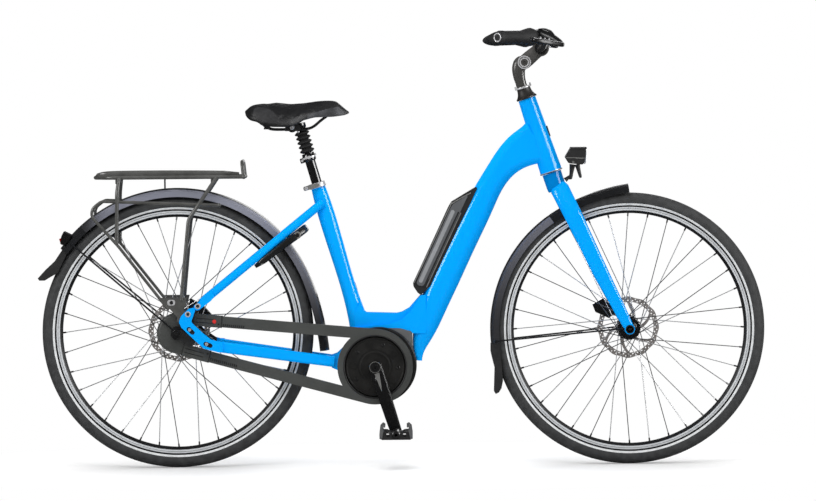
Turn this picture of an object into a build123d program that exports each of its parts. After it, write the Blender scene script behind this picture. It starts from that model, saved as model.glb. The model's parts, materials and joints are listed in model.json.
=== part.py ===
"""City electric bicycle with a low step-through frame, mid motor and disc brakes.

Millimetres. +X points forward, +Y to the rider's left, +Z up. The model is laid out from the point on the
ground below the rear hub, and every piece is then moved so that the origin is the rider's seat on the saddle.
"""

import math
import os

from build123d import *

# ---- wheels --------------------------------------------------------------------------------------
RIM_FLANGE_RADIUS = 317.0
BEAD_SEAT_RADIUS = RIM_FLANGE_RADIUS - 6.0
RIM_INNER_RADIUS = RIM_FLANGE_RADIUS - 20.0
TYRE_WIDTH = 40.0
TYRE_RADIUS = RIM_FLANGE_RADIUS + 33.0
RIM_WIDTH = 25.0
RIM_WALL = 1.6
RIM_NOSE_WIDTH = 12.0
SPOKE_COUNT = 36
SPOKE_DIAMETER = 2.3
SPOKE_HOLE_INSET = 2.0
SPOKE_FLANGE_GAP = 0.7
SPOKE_RIM_SPREAD = 2.5
SPOKE_CROSS_TURN = 60.0
FLANGE_THICKNESS = 3.0
AXLE_DIAMETER = 10.0
AXLE_NUT_HEIGHT = 10.0
AXLE_END = 14.0
ROTOR_RADIUS = 80.0
ROTOR_BAND = 13.0
ROTOR_THICKNESS = 1.8
ROTOR_ARMS = 6
ROTOR_ARM_WIDTH = 9.0
ROTOR_CENTRE_RADIUS = 27.0
ROTOR_SLOT_HALF = 3.0

REAR_DROPOUT_SPACING = 135.0
REAR_HUB_HALF_WIDTH = 42.0
REAR_HUB_RADIUS = 40.0
REAR_FLANGE_RADIUS = 47.0
REAR_FLANGE_OFFSET = 32.0
REAR_ROTOR_OFFSET = 51.5
FRONT_DROPOUT_SPACING = 100.0
FRONT_DROPOUT_THICKNESS = 7.0
FRONT_HUB_HALF_WIDTH = 38.0
FRONT_HUB_RADIUS = 15.0
FRONT_FLANGE_RADIUS = 29.0
FRONT_FLANGE_OFFSET = 27.0
FRONT_ROTOR_OFFSET = 38.0

# ---- layout --------------------------------------------------------------------------------------
WHEELBASE = 1163.0
BOTTOM_BRACKET_REACH = 508.0
BOTTOM_BRACKET_DROP = 91.0
HEAD_ANGLE = 72.0
FORK_OFFSET = 62.0
AXLE_TO_HEAD = TYRE_RADIUS + 94.4
HEAD_TUBE_LENGTH = 200.0
SEAT_ANGLE = 73.7
SEAT_TUBE_SETBACK = 8.0
SEAT_TUBE_LENGTH = 489.0
SEAT_STAY_JOINT_DROP = 49.0
SEAT_POST_INSERT = 120.0
SEAT_BORE_DEPTH = 190.0
SADDLE_RISE = 192.0

# ---- frame ---------------------------------------------------------------------------------------
HEAD_TUBE_TOP_DIAMETER = 46.0
HEAD_TUBE_BOTTOM_DIAMETER = 58.0
STEERER_DIAMETER = 28.6
SEAT_TUBE_DIAMETER = 35.0
SEAT_POST_DIAMETER = 27.2
SEAT_STAY_DIAMETER = 21.0
CHAINSTAY_HEIGHT = 28.0
CHAINSTAY_WIDTH = 17.0
CHAINSTAY_FRONT_OFFSET = 33.0
YOKE_HALF_WIDTH = 30.0
DROPOUT_THICKNESS = 6.0
CARRIER_THICKNESS = 5.0
FOOT_HALF_WIDTH = 33.0
CROSS_BEAM_HALF_WIDTH = 24.0
RUNNING_GAP = 0.5
SLIDE_GAP = 0.3
HEADSET_CLEARANCE = 1.0

# ---- drive ---------------------------------------------------------------------------------------
CHAIN_CASE_FRONT_RADIUS = 97.0
CHAIN_CASE_WINDOW_RADIUS = 78.5
CHAIN_CASE_REAR_RADIUS = 52.0
CHAIN_RUN_HEIGHT = 28.0
CHAIN_CASE_INNER_FACE = 44.0
CHAIN_CASE_THICKNESS = 16.0
MOTOR_RADIUS = 98.0
MOTOR_CENTRE_FORWARD = 9.0
MOTOR_CENTRE_UP = 3.0
MOTOR_LEFT_FACE = 52.0
CRANK_LENGTH = 175.0
CRANK_TILT = 17.5
CRANK_INNER_FACE = 66.0
CRANK_THICKNESS = 14.0
CRANK_WIDTH = 32.0
SPINDLE_DIAMETER = 24.0
CHAINRING_GAP = 2.5
CHAINRING_THICKNESS = 7.0
PEDAL_LENGTH = 85.0
PEDAL_WIDTH = 96.0
PEDAL_THICKNESS = 26.0
PEDAL_GAP = 12.0
PEDAL_AXLE_DIAMETER = 12.0
LEFT_PEDAL_TURN = 106.0

# ---- fenders and rack ----------------------------------------------------------------------------
FENDER_HALF_WIDTH = 27.0
FENDER_THICKNESS = 1.8
FENDER_SKIRT = 24.0
REAR_FENDER_RADIUS = TYRE_RADIUS + 22.0
REAR_FENDER_END_CURVE = 2 * REAR_FENDER_RADIUS
FRONT_FENDER_RADIUS = TYRE_RADIUS + 8.0
FRONT_FENDER_END_CURVE = FRONT_FENDER_RADIUS + 120.0
FENDER_STAY_DIAMETER = 4.0
STAY_EYE_THICKNESS = 3.0
RACK_TUBE_DIAMETER = 10.0
RACK_TOP_HEIGHT = TYRE_RADIUS + REAR_FENDER_RADIUS + 33.0
RACK_FRONT = 180.0
RACK_REAR = -213.0
RACK_HALF_WIDTH = 58.0
RACK_JOINT_RADIUS = 6.0
RACK_GUSSET_THICKNESS = 4.0
RACK_CROSS_BARS = (110.0, 40.0, -30.0, -100.0, -150.0)
PANNIER_RAIL_OFFSET = 66.0

# ---- cockpit -------------------------------------------------------------------------------------
HANDLEBAR_DIAMETER = 22.2
HANDLEBAR_CLAMP_DIAMETER = 31.8
BAR_BULGE_HALF = 30.0
STEM_CLAMP_HALF = 22.0
DISPLAY_CLAMP_INNER = 36.0
DISPLAY_CLAMP_OUTER = 48.0
GRIP_DIAMETER = 34.0
STEM_HALF_WIDTH = 17.0

# ---- worked out ----------------------------------------------------------------------------------
REAR_HUB = Vector(0, 0, TYRE_RADIUS)
FRONT_HUB = Vector(WHEELBASE, 0, TYRE_RADIUS)
BOTTOM_BRACKET = Vector(BOTTOM_BRACKET_REACH, 0, TYRE_RADIUS - BOTTOM_BRACKET_DROP)
STEER_UP = Vector(-math.cos(math.radians(HEAD_ANGLE)), 0, math.sin(math.radians(HEAD_ANGLE)))
STEER_FORWARD = Vector(STEER_UP.Z, 0, -STEER_UP.X)
HEAD_BOTTOM = FRONT_HUB - STEER_FORWARD * FORK_OFFSET + STEER_UP * AXLE_TO_HEAD
HEAD_TOP = HEAD_BOTTOM + STEER_UP * HEAD_TUBE_LENGTH
SEAT_UP = Vector(-math.cos(math.radians(SEAT_ANGLE)), 0, math.sin(math.radians(SEAT_ANGLE)))
SEAT_FORWARD = Vector(SEAT_UP.Z, 0, -SEAT_UP.X)
SEAT_ROOT = BOTTOM_BRACKET - Vector(SEAT_TUBE_SETBACK, 0, 0)
SEAT_TUBE_TOP = SEAT_ROOT + SEAT_UP * SEAT_TUBE_LENGTH
SADDLE_CLAMP = SEAT_TUBE_TOP + SEAT_UP * (SADDLE_RISE - 48)
SADDLE_BASE = SEAT_TUBE_TOP + SEAT_UP * SADDLE_RISE
RIDER = Vector(SADDLE_BASE.X - 47.0, 0, SADDLE_BASE.Z + 26.0)
CHAIN_CASE_OUTER_FACE = CHAIN_CASE_INNER_FACE + CHAIN_CASE_THICKNESS
PEDAL_INNER_FACE = CRANK_INNER_FACE + CRANK_THICKNESS + PEDAL_GAP
REAR_DROPOUT_FACE = REAR_DROPOUT_SPACING / 2
REAR_PLATE_FACE = REAR_DROPOUT_FACE + CARRIER_THICKNESS
REAR_PLATE_OUTER = REAR_PLATE_FACE + DROPOUT_THICKNESS
SIDES = (-1, 1)


# ---- shapes --------------------------------------------------------------------------------------
def rod(start, end, diameter, end_diameter=None):
    """Round bar between two points, tapered if an end diameter is given."""
    span = end - start
    bar = Cylinder(diameter / 2, span.length, align=(Align.CENTER, Align.CENTER, Align.MIN))
    if end_diameter:
        from_start = (Align.CENTER, Align.CENTER, Align.MIN)
        bar = Cone(diameter / 2, end_diameter / 2, span.length, align=from_start)
    return Plane(origin=start, z_dir=span).location * bar


def pipe(points, radii, diameter):
    """Round bar bent along straight runs joined by tangent arcs."""
    path = FilletPolyline(*points, radius=radii)
    return sweep(Plane(origin=path @ 0, z_dir=path % 0) * Circle(diameter / 2), path=path)


def drum(centre, radius, y_from, y_to, bore=0.0):
    """Disc or ring whose axis is parallel to Y, between two sideways places."""
    section = Circle(radius)
    if bore:
        section -= Circle(bore)
    placed = Plane.XZ.offset(-max(y_from, y_to)) * Pos(centre.X, centre.Z) * section
    return extrude(placed, amount=abs(y_to - y_from))


def plate(points, y_from, y_to):
    """Flat plate with a polygon outline in the side view, points as (x, z)."""
    outline = Plane.XZ.offset(-max(y_from, y_to)) * make_face(Polyline(*points, close=True))
    return extrude(outline, amount=abs(y_to - y_from))


def turned(profile, centre):
    """Ring turned about the Y axis from a profile given as (radius, sideways) points."""
    face = make_face(Polyline(*profile, close=True))
    return Pos(centre) * revolve(face, axis=Axis.Y)


def mirrored(shape):
    """The shape together with its twin on the other side of the bicycle."""
    return shape + mirror(shape, about=Plane.XZ)


def side(point, y):
    """A copy of a point of the middle plane moved sideways."""
    return Vector(point.X, y, point.Z)


def from_bracket(dx, dz, y=0.0):
    return BOTTOM_BRACKET + Vector(dx, y, dz)


def from_rear_hub(dx, dz, y=0.0):
    return REAR_HUB + Vector(dx, y, dz)


def from_front_hub(dx, dz, y=0.0):
    return FRONT_HUB + Vector(dx, y, dz)


def from_head_top(dx, dz, y=0.0):
    return HEAD_TOP + Vector(dx, y, dz)


def flat(points):
    """Side-view coordinates of points, for plate outlines."""
    return [(point.X, point.Z) for point in points]


# ---- wheels --------------------------------------------------------------------------------------
def tyre(hub):
    crown = Pos(TYRE_RADIUS - TYRE_WIDTH / 2, 0) * Circle(TYRE_WIDTH / 2)
    lip = RIM_FLANGE_RADIUS + SLIDE_GAP
    keep = Pos(lip + TYRE_WIDTH, 0) * Rectangle(2 * TYRE_WIDTH, 2 * TYRE_WIDTH)
    bead_half = RIM_WIDTH / 2 - RIM_WALL - 0.1
    bead = Pos((BEAD_SEAT_RADIUS + lip) / 2, 0) * Rectangle(lip - BEAD_SEAT_RADIUS, 2 * bead_half)
    return Pos(hub) * revolve(crown & keep, axis=Axis.Y) + Pos(hub) * revolve(bead, axis=Axis.Y)


def rim(hub):
    half = RIM_WIDTH / 2
    seat = half - RIM_WALL
    shoulder = RIM_INNER_RADIUS + 8.0
    nose = RIM_NOSE_WIDTH / 2
    profile = [
        (RIM_INNER_RADIUS, -nose),
        (RIM_INNER_RADIUS, nose),
        (shoulder, half),
        (RIM_FLANGE_RADIUS, half),
        (RIM_FLANGE_RADIUS, seat),
        (BEAD_SEAT_RADIUS, seat),
        (BEAD_SEAT_RADIUS, -seat),
        (RIM_FLANGE_RADIUS, -seat),
        (RIM_FLANGE_RADIUS, -half),
        (shoulder, -half),
    ]
    return turned(profile, hub)


def spokes(hub, flange_radius, flange_offset):
    """Crossed spokes: each leaves beside a flange and leans forward or back to its own place in the rim."""
    bars = []
    hole_radius = flange_radius - SPOKE_HOLE_INSET
    beside = FLANGE_THICKNESS / 2 + SPOKE_DIAMETER / 2 + SPOKE_FLANGE_GAP
    for index in range(SPOKE_COUNT):
        rim_angle = math.radians(360 / SPOKE_COUNT * index)
        flank = -1 if index % 2 else 1
        lean = 1 if index % 4 < 2 else -1
        hub_angle = rim_angle + math.radians(lean * SPOKE_CROSS_TURN)
        hub_y = flank * (flange_offset + lean * beside)
        start = hub + Vector(hole_radius * math.cos(hub_angle), hub_y, hole_radius * math.sin(hub_angle))
        reach = RIM_INNER_RADIUS - SLIDE_GAP
        rim_y = flank * SPOKE_RIM_SPREAD
        end = hub + Vector(reach * math.cos(rim_angle), rim_y, reach * math.sin(rim_angle))
        bars.append(rod(start, end, SPOKE_DIAMETER))
    return Compound(children=bars)


def hub_shell(hub, radius, half_width, flange_radius, flange_offset, rotor_offset):
    shell = drum(hub, radius, -half_width, half_width)
    for flank in SIDES:
        middle = flank * flange_offset
        shell += drum(hub, flange_radius, middle - FLANGE_THICKNESS / 2, middle + FLANGE_THICKNESS / 2)
    shell += drum(hub, ROTOR_CENTRE_RADIUS - 6.0, 0, rotor_offset)
    return shell - drum(hub, AXLE_DIAMETER / 2 + SLIDE_GAP, -half_width, rotor_offset)


def rotor(hub, offset):
    inner = ROTOR_RADIUS - ROTOR_BAND
    outer_face = offset + ROTOR_THICKNESS
    disc = drum(hub, ROTOR_RADIUS, offset, outer_face, inner)
    disc += drum(hub, ROTOR_CENTRE_RADIUS, offset, outer_face, ROTOR_CENTRE_RADIUS - 10.0)
    arm = Box(inner - ROTOR_CENTRE_RADIUS + 6.0, ROTOR_THICKNESS, ROTOR_ARM_WIDTH)
    for index in range(ROTOR_ARMS):
        turn = Location(hub, (0, 360 / ROTOR_ARMS * index, 0))
        disc += turn * Pos((inner + ROTOR_CENTRE_RADIUS) / 2, offset + ROTOR_THICKNESS / 2, 0) * arm
    return disc


# ---- frame ---------------------------------------------------------------------------------------
# Down tube stations from the head tube to the tip in front of the motor: share of the line from the bottom
# bracket to the middle of the head tube, offset behind that line, depth in the side view, width across.
DOWN_TUBE_STATIONS = (
    (0.978, -4.1, 116.0, 44.0),
    (0.924, 15.1, 94.6, 50.0),
    (0.867, 27.5, 77.2, 56.0),
    (0.808, 30.4, 66.0, 60.0),
    (0.748, 27.8, 65.0, 63.0),
    (0.689, 21.3, 68.8, 66.0),
    (0.513, -0.5, 72.3, 68.0),
    (0.395, -16.3, 74.0, 68.0),
    (0.297, -30.8, 71.0, 67.0),
    (0.223, -45.4, 62.0, 64.0),
    (0.165, -59.3, 43.4, 58.0),
    (0.106, -84.6, 14.0, 48.0),
)
SECTION_ROUNDING = 0.42


def down_tube_line():
    """Centre points of the down tube's sections."""
    head_middle = (HEAD_BOTTOM + HEAD_TOP) * 0.5
    chord = head_middle - BOTTOM_BRACKET
    behind = Vector(-chord.Z, 0, chord.X).normalized()
    return [BOTTOM_BRACKET + chord * share + behind * offset for share, offset, _, _ in DOWN_TUBE_STATIONS]


def head_bore():
    return rod(HEAD_BOTTOM - STEER_UP, HEAD_TOP + STEER_UP, STEERER_DIAMETER + 2 * HEADSET_CLEARANCE)


def head_tube_solid():
    return rod(HEAD_BOTTOM, HEAD_TOP, HEAD_TUBE_BOTTOM_DIAMETER, HEAD_TUBE_TOP_DIAMETER)


def head_tube():
    return head_tube_solid() - head_bore()


def down_tube():
    centres = down_tube_line()
    sections = []
    for index, (_, _, depth, width) in enumerate(DOWN_TUBE_STATIONS):
        ahead = centres[min(index + 1, len(centres) - 1)] - centres[max(index - 1, 0)]
        corner = SECTION_ROUNDING * min(depth, width)
        frame = Plane(origin=centres[index], x_dir=(0, 1, 0), z_dir=ahead)
        sections.append(frame * RectangleRounded(width, depth, corner))
    return loft(sections) - head_tube_solid() - head_bore()


def seat_tube_solid():
    stations = (
        (SEAT_TUBE_LENGTH, SEAT_TUBE_DIAMETER, SEAT_TUBE_DIAMETER),
        (SEAT_TUBE_LENGTH * 0.47, SEAT_TUBE_DIAMETER + 4, SEAT_TUBE_DIAMETER + 4),
        (165.0, 43.0, 42.0),
        (104.0, 56.0, 48.0),
    )
    sections = []
    for along, depth, width in stations:
        frame = Plane(origin=SEAT_ROOT + SEAT_UP * along, x_dir=SEAT_FORWARD, z_dir=-SEAT_UP)
        sections.append(frame * Ellipse(depth / 2, width / 2))
    return loft(sections)


def seat_tube():
    bore_diameter = SEAT_POST_DIAMETER + 2 * SLIDE_GAP
    bore = rod(SEAT_TUBE_TOP + SEAT_UP, SEAT_TUBE_TOP - SEAT_UP * SEAT_BORE_DEPTH, bore_diameter)
    return seat_tube_solid() - bore - motor_solid()


def motor_bracket():
    """Cast foot that joins the two tubes and holds the motor: a narrow beam over a wider sole."""
    beam_outline = [(-53, 99), (-50, 140), (-38, 165), (-36, 157), (-31, 146), (-21, 137.5), (57, 135)]
    beam_outline += [(70, 138), (89.5, 149), (106, 168), (119, 182), (132, 182), (132, 99)]
    sole_outline = [(-53, 99), (-31, 101), (5, 105), (34, 108), (67, 118), (92, 141), (119, 182), (132, 182)]
    sole_outline += [(132, 84), (96.5, 84), (92.5, 89.5), (65, 97), (9.6, 99)]
    beam = plate(flat(from_bracket(*p) for p in beam_outline), -CROSS_BEAM_HALF_WIDTH, CROSS_BEAM_HALF_WIDTH)
    sole = plate(flat(from_bracket(*p) for p in sole_outline), -FOOT_HALF_WIDTH, FOOT_HALF_WIDTH)
    return beam + sole - seat_tube_solid() - down_tube() - motor_solid()


def chainstay_line():
    """Chainstay centre from the dropout to the motor, for the left side."""
    return [
        from_rear_hub(104, -35, REAR_PLATE_FACE - CHAINSTAY_WIDTH / 2 + DROPOUT_THICKNESS),
        from_bracket(-106, 12.7, CHAINSTAY_FRONT_OFFSET),
    ]


def chainstays():
    start, end = chainstay_line()
    run = end - start
    frame = Plane(origin=start, x_dir=Vector(0, 1, 0), z_dir=run)
    stay = extrude(frame * RectangleRounded(CHAINSTAY_WIDTH, CHAINSTAY_HEIGHT, 7.0), amount=run.length)
    plate_outline = [(31, 63), (12, 45), (6, 30), (12, 16), (26, 2), (50, -21), (69, -39), (106, -49)]
    plate_outline += [(118, -49), (118, -22), (104, -21), (88, -16), (69, -1), (50, 17), (37, 29)]
    plate_outline += [(42, 42), (48, 58), (46, 67)]
    outline = flat(from_rear_hub(*p) for p in plate_outline)
    stay += plate(outline, REAR_PLATE_FACE, REAR_PLATE_OUTER)
    yoke = [(-112, -3), (-112, 28), (-98, 33), (-84, 46), (-60, 50), (-60, -12), (-84, -22), (-98, -9)]
    block = plate(flat(from_bracket(*p) for p in yoke), -YOKE_HALF_WIDTH, YOKE_HALF_WIDTH)
    return mirrored(stay) + block - motor_solid()


def seat_stay_ends():
    return from_rear_hub(65, 79, REAR_PLATE_FACE - 1.5), SEAT_TUBE_TOP - SEAT_UP * SEAT_STAY_JOINT_DROP


def seat_stays():
    lower, upper = seat_stay_ends()
    bend = lower + (upper - lower) * 0.76
    outer = side(bend, 43.0)
    stay = pipe([lower, outer, side(upper, 19.0)], [80.0], SEAT_STAY_DIAMETER)
    bridge_at = lower + (outer - lower) * 0.93
    bridge = rod(side(bridge_at, -41.0), side(bridge_at, 41.0), 14.0)
    return mirrored(stay) + bridge - seat_tube_solid() - rod(SEAT_TUBE_TOP, SEAT_ROOT, SEAT_POST_DIAMETER)


def dropout_links():
    """Short links that close the rear triangle between each dropout and its seat stay."""
    link = [(27, 55), (45, 46), (74, 72), (60, 86)]
    outer = REAR_PLATE_OUTER + RACK_GUSSET_THICKNESS
    piece = plate(flat(from_rear_hub(*p) for p in link), REAR_PLATE_OUTER, outer)
    lower, _ = seat_stay_ends()
    boss = drum(from_rear_hub(64, 76), 7.0, REAR_PLATE_FACE, REAR_PLATE_OUTER)
    return mirrored(piece + boss) - seat_stays()


def axle_carriers():
    """Sliding plates bolted inside the dropouts that hold the rear axle."""
    outline = [(-14, 10), (-4, 18), (14, 18), (52, 16), (66, 2), (98, -20), (94, -36)]
    outline += [(76, -40), (30, -6), (12, -16)]
    outline += [(-6, -17), (-16, -6)]
    piece = plate(flat(from_rear_hub(*p) for p in outline), REAR_DROPOUT_FACE, REAR_PLATE_FACE)
    return mirrored(piece - drum(REAR_HUB, AXLE_DIAMETER / 2, REAR_DROPOUT_FACE, REAR_PLATE_FACE))


def seat_clamp():
    bottom = SEAT_TUBE_TOP - SEAT_UP * 9
    ring = rod(bottom, bottom + SEAT_UP * 13, SEAT_TUBE_DIAMETER + 9)
    lug = Plane(origin=bottom + SEAT_UP * 6.5, x_dir=SEAT_FORWARD, z_dir=SEAT_UP).location
    ring += lug * Pos(-SEAT_TUBE_DIAMETER / 2 - 7, 0, 0) * Box(14, 18, 12)
    bore = rod(bottom - SEAT_UP, bottom + SEAT_UP * 15, SEAT_POST_DIAMETER + 2 * SLIDE_GAP)
    return ring - seat_tube_solid() - bore


# ---- drive ---------------------------------------------------------------------------------------
def motor_solid():
    centre = BOTTOM_BRACKET + Vector(MOTOR_CENTRE_FORWARD, 0, MOTOR_CENTRE_UP)
    body = drum(centre, MOTOR_RADIUS, -CHAIN_CASE_INNER_FACE, MOTOR_LEFT_FACE)
    shoulder = [(-60, 40), (-58, 99), (65, 97), (92.5, 89.5), (96.5, 84), (97.3, 49), (107, 15), (60, -40)]
    return body + plate(flat(from_bracket(*p) for p in shoulder), -36.0, 36.0)


def motor():
    bore = drum(BOTTOM_BRACKET, SPINDLE_DIAMETER / 2 + RUNNING_GAP, -CHAIN_CASE_INNER_FACE, MOTOR_LEFT_FACE)
    return motor_solid() - bore - down_tube()


def chain_run(turn):
    """One straight run of the case: a band inside the outer tangent of the two end circles; turn is 1 or -1."""
    span = BOTTOM_BRACKET - REAR_HUB
    base = math.atan2(span.Z, span.X)
    slope = math.asin((CHAIN_CASE_FRONT_RADIUS - CHAIN_CASE_REAR_RADIUS) / span.length)
    line = base + turn * slope
    normal = Vector(-math.sin(line), 0, math.cos(line)) * turn
    front, rear = CHAIN_CASE_FRONT_RADIUS, CHAIN_CASE_REAR_RADIUS
    corners = [
        BOTTOM_BRACKET + normal * front,
        REAR_HUB + normal * rear,
        REAR_HUB + normal * (rear - CHAIN_RUN_HEIGHT),
        BOTTOM_BRACKET + normal * (front - CHAIN_RUN_HEIGHT),
    ]
    return plate(flat(corners), -CHAIN_CASE_OUTER_FACE, -CHAIN_CASE_INNER_FACE)


def chain_case():
    inner, outer = -CHAIN_CASE_INNER_FACE, -CHAIN_CASE_OUTER_FACE
    case = drum(BOTTOM_BRACKET, CHAIN_CASE_FRONT_RADIUS, outer, inner) + drum(
        REAR_HUB, CHAIN_CASE_REAR_RADIUS, outer, inner
    )
    case += chain_run(1) + chain_run(-1)
    case -= drum(BOTTOM_BRACKET, CHAIN_CASE_WINDOW_RADIUS, outer, inner)
    return case - drum(REAR_HUB, 11.0, outer, inner)


def crank_end(flank):
    tilt = math.radians(CRANK_TILT)
    return BOTTOM_BRACKET - Vector(flank * math.sin(tilt), 0, -flank * math.cos(tilt)) * CRANK_LENGTH


def crank_arm(flank):
    """Tapered arm; the right arm points down and forward, the left one the other way."""
    end = crank_end(flank)
    inner = CRANK_INNER_FACE
    outer = inner + CRANK_THICKNESS
    along = (end - BOTTOM_BRACKET).normalized()
    across = Vector(-along.Z, 0, along.X)
    half, tip = CRANK_WIDTH / 2, CRANK_WIDTH / 2 - 1.5
    outline = [BOTTOM_BRACKET + across * half, BOTTOM_BRACKET - across * half]
    outline += [end - across * tip, end + across * tip]
    arm = plate(flat(outline), flank * inner, flank * outer)
    arm += drum(BOTTOM_BRACKET, half, flank * inner, flank * (outer + 2))
    arm += drum(end, tip, flank * inner, flank * outer)
    bore = drum(end, PEDAL_AXLE_DIAMETER / 2 + SLIDE_GAP, flank * inner, flank * outer)
    return arm - bore


def cranks():
    spindle = drum(BOTTOM_BRACKET, SPINDLE_DIAMETER / 2, -CRANK_INNER_FACE, CRANK_INNER_FACE)
    return spindle + crank_arm(-1) + crank_arm(1)


def chainring():
    inner_face = CHAIN_CASE_INNER_FACE + 6.0
    outer_face = inner_face + CHAINRING_THICKNESS
    radius = CHAIN_CASE_WINDOW_RADIUS - CHAINRING_GAP
    return drum(BOTTOM_BRACKET, radius, -outer_face, -inner_face, SPINDLE_DIAMETER / 2)


def pedal(flank):
    """Platform pedal with turned-up ends, on its own axle in the crank; the left one stands on end at rest."""
    end = crank_end(flank)
    inner, outer = PEDAL_INNER_FACE, PEDAL_INNER_FACE + PEDAL_WIDTH
    half, low = PEDAL_LENGTH / 2, PEDAL_THICKNESS / 2
    outline = [(-half + 5, -low), (half - 5, -low), (half, -low + 6), (half, low - 8), (half - 2, low + 10)]
    outline += [(half - 8, low + 14), (half - 15, low + 10), (half - 11, low + 4), (half - 14, low - 3)]
    outline += [(-half + 14, low - 3), (-half + 11, low + 4), (-half + 15, low + 10), (-half + 8, low + 14)]
    outline += [(-half + 2, low + 10), (-half, low - 8), (-half, -low + 6)]
    body = plate([(end.X + x, end.Z + z) for x, z in outline], flank * inner, flank * outer)
    for place in (-1, 1):
        slot = Box(20, PEDAL_WIDTH - 24, PEDAL_THICKNESS * 3)
        body -= Pos(end.X + place * 24, flank * (inner + outer) / 2, end.Z) * slot
    body += drum(end, 11.0, flank * (inner - 6), flank * outer)
    if flank > 0:
        body = Location(end, (0, -LEFT_PEDAL_TURN, 0)) * Pos(-end) * body
    return body + drum(end, PEDAL_AXLE_DIAMETER / 2, flank * CRANK_INNER_FACE, flank * inner)


# ---- battery, fenders, rack ----------------------------------------------------------------------
def battery():
    outline = [(257, 455), (200, 421), (192, 408), (118.6, 252), (99, 211), (101, 203), (111, 188), (119, 182)]
    outline += [(150, 210), (250, 420), (268, 462)]
    case = plate(flat(from_bracket(*p) for p in outline), -29.0, 29.0)
    return case - down_tube() - motor_bracket()


def fender_profile(radius):
    half, skirt = FENDER_HALF_WIDTH, radius - FENDER_SKIRT
    shoulder, wall = radius - 9.0, FENDER_THICKNESS
    outer = ThreePointArc((shoulder, half), (radius, 0), (shoulder, -half))
    inner = ThreePointArc((shoulder, half - wall), (radius - wall, 0), (shoulder, wall - half))
    edges = [outer, inner]
    for flank in SIDES:
        edges.append(Line((shoulder, flank * half), (skirt, flank * half)))
        edges.append(Line((skirt, flank * half), (skirt, flank * (half - wall))))
        edges.append(Line((skirt, flank * (half - wall)), (shoulder, flank * (half - wall))))
    return make_face(edges)


def fender_core(hub, radius):
    """Everything inside a fender's outer surface, all the way round, to trim what sits on the fender."""
    half = FENDER_HALF_WIDTH
    edges = [ThreePointArc((radius - 9.0, half), (radius, 0), (radius - 9.0, -half))]
    edges.append(Polyline((radius - 9.0, half), (radius / 2, half), (radius / 2, -half), (radius - 9.0, -half)))
    return Pos(hub) * revolve(make_face(edges), axis=Axis.Y)


def fender_arc(hub, radius, curve_radius, turn_at, start, stop):
    """Part of a fender between two angles, on a circle that touches the hub-centred one at turn_at."""
    shift = curve_radius - radius
    centre = hub - Vector(math.cos(math.radians(turn_at)), 0, math.sin(math.radians(turn_at))) * shift
    ring = revolve(fender_profile(curve_radius), axis=Axis.Y, revolution_arc=stop - start)
    return Location(centre, (0, -stop, 0)) * ring


def on_circle(hub, radius, angle, y=0.0):
    turn = math.radians(angle)
    return hub + Vector(radius * math.cos(turn), y, radius * math.sin(turn))


def fender_stay(hub, start, end_radius, end_angle):
    """Wire pair from the axle ends into the fender's skirt."""
    end = on_circle(hub, end_radius, end_angle, FENDER_HALF_WIDTH)
    return mirrored(rod(start, end, FENDER_STAY_DIAMETER))


def fender_plate(hub, radius, outline, half):
    """Plate across a fender, its outline given as (angle round the hub, rise above the fender's outer circle)."""
    return plate(flat(on_circle(hub, radius + rise, angle) for angle, rise in outline), -half, half)


def rear_fender():
    shell = fender_arc(REAR_HUB, REAR_FENDER_RADIUS, REAR_FENDER_RADIUS, 0, 20, 144)
    shell += fender_arc(REAR_HUB, REAR_FENDER_RADIUS, REAR_FENDER_END_CURVE, 20, 6.0, 20)
    post_x = RACK_CROSS_BARS[-3]
    rack_bar = RACK_TOP_HEIGHT - RACK_TUBE_DIAMETER / 2
    shell += rod(Vector(post_x, 0, REAR_HUB.Z + REAR_FENDER_RADIUS - 8), Vector(post_x, 0, rack_bar), 10.0)
    eye_outer = REAR_PLATE_FACE + STAY_EYE_THICKNESS
    eye = drum(REAR_HUB, 11.0, REAR_PLATE_FACE, eye_outer, AXLE_DIAMETER / 2)
    start = from_rear_hub(-8, 6, eye_outer - FENDER_STAY_DIAMETER / 2)
    stay = fender_stay(REAR_HUB, start, REAR_FENDER_RADIUS - 16, 139.7)
    return shell + mirrored(eye) + stay - axle_carriers()


def rear_mudflap():
    """Rubber flap that flares out behind the rear fender."""
    outline = [(141.6, -3.3), (144.1, -6.7), (149.4, -6.2), (154, 4.1), (158.4, 14.1), (159, 8.2)]
    outline += [(158.2, -4.7), (156.1, -14.3), (153.3, -27.2), (143.9, -22)]
    piece = fender_plate(REAR_HUB, REAR_FENDER_RADIUS, outline, 24.0)
    cut_outline = [(141.6, -11.1), (150.3, -10.6), (157.5, 1.5), (160, -20.9), (143.1, -72)]
    hollow = fender_plate(REAR_HUB, REAR_FENDER_RADIUS, cut_outline, 21.0)
    return piece - hollow - rear_fender()


def rear_lamp():
    outline = [(138, 19.6), (137, -2.7), (139.1, -5.5), (141.5, -5.5), (142.4, 1.6), (142.3, 7.2)]
    outline += [(139.9, 16.2)]
    lamp = fender_plate(REAR_HUB, REAR_FENDER_RADIUS, outline, 28.0)
    return lamp - fender_core(REAR_HUB, REAR_FENDER_RADIUS) - rear_mudflap()


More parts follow.
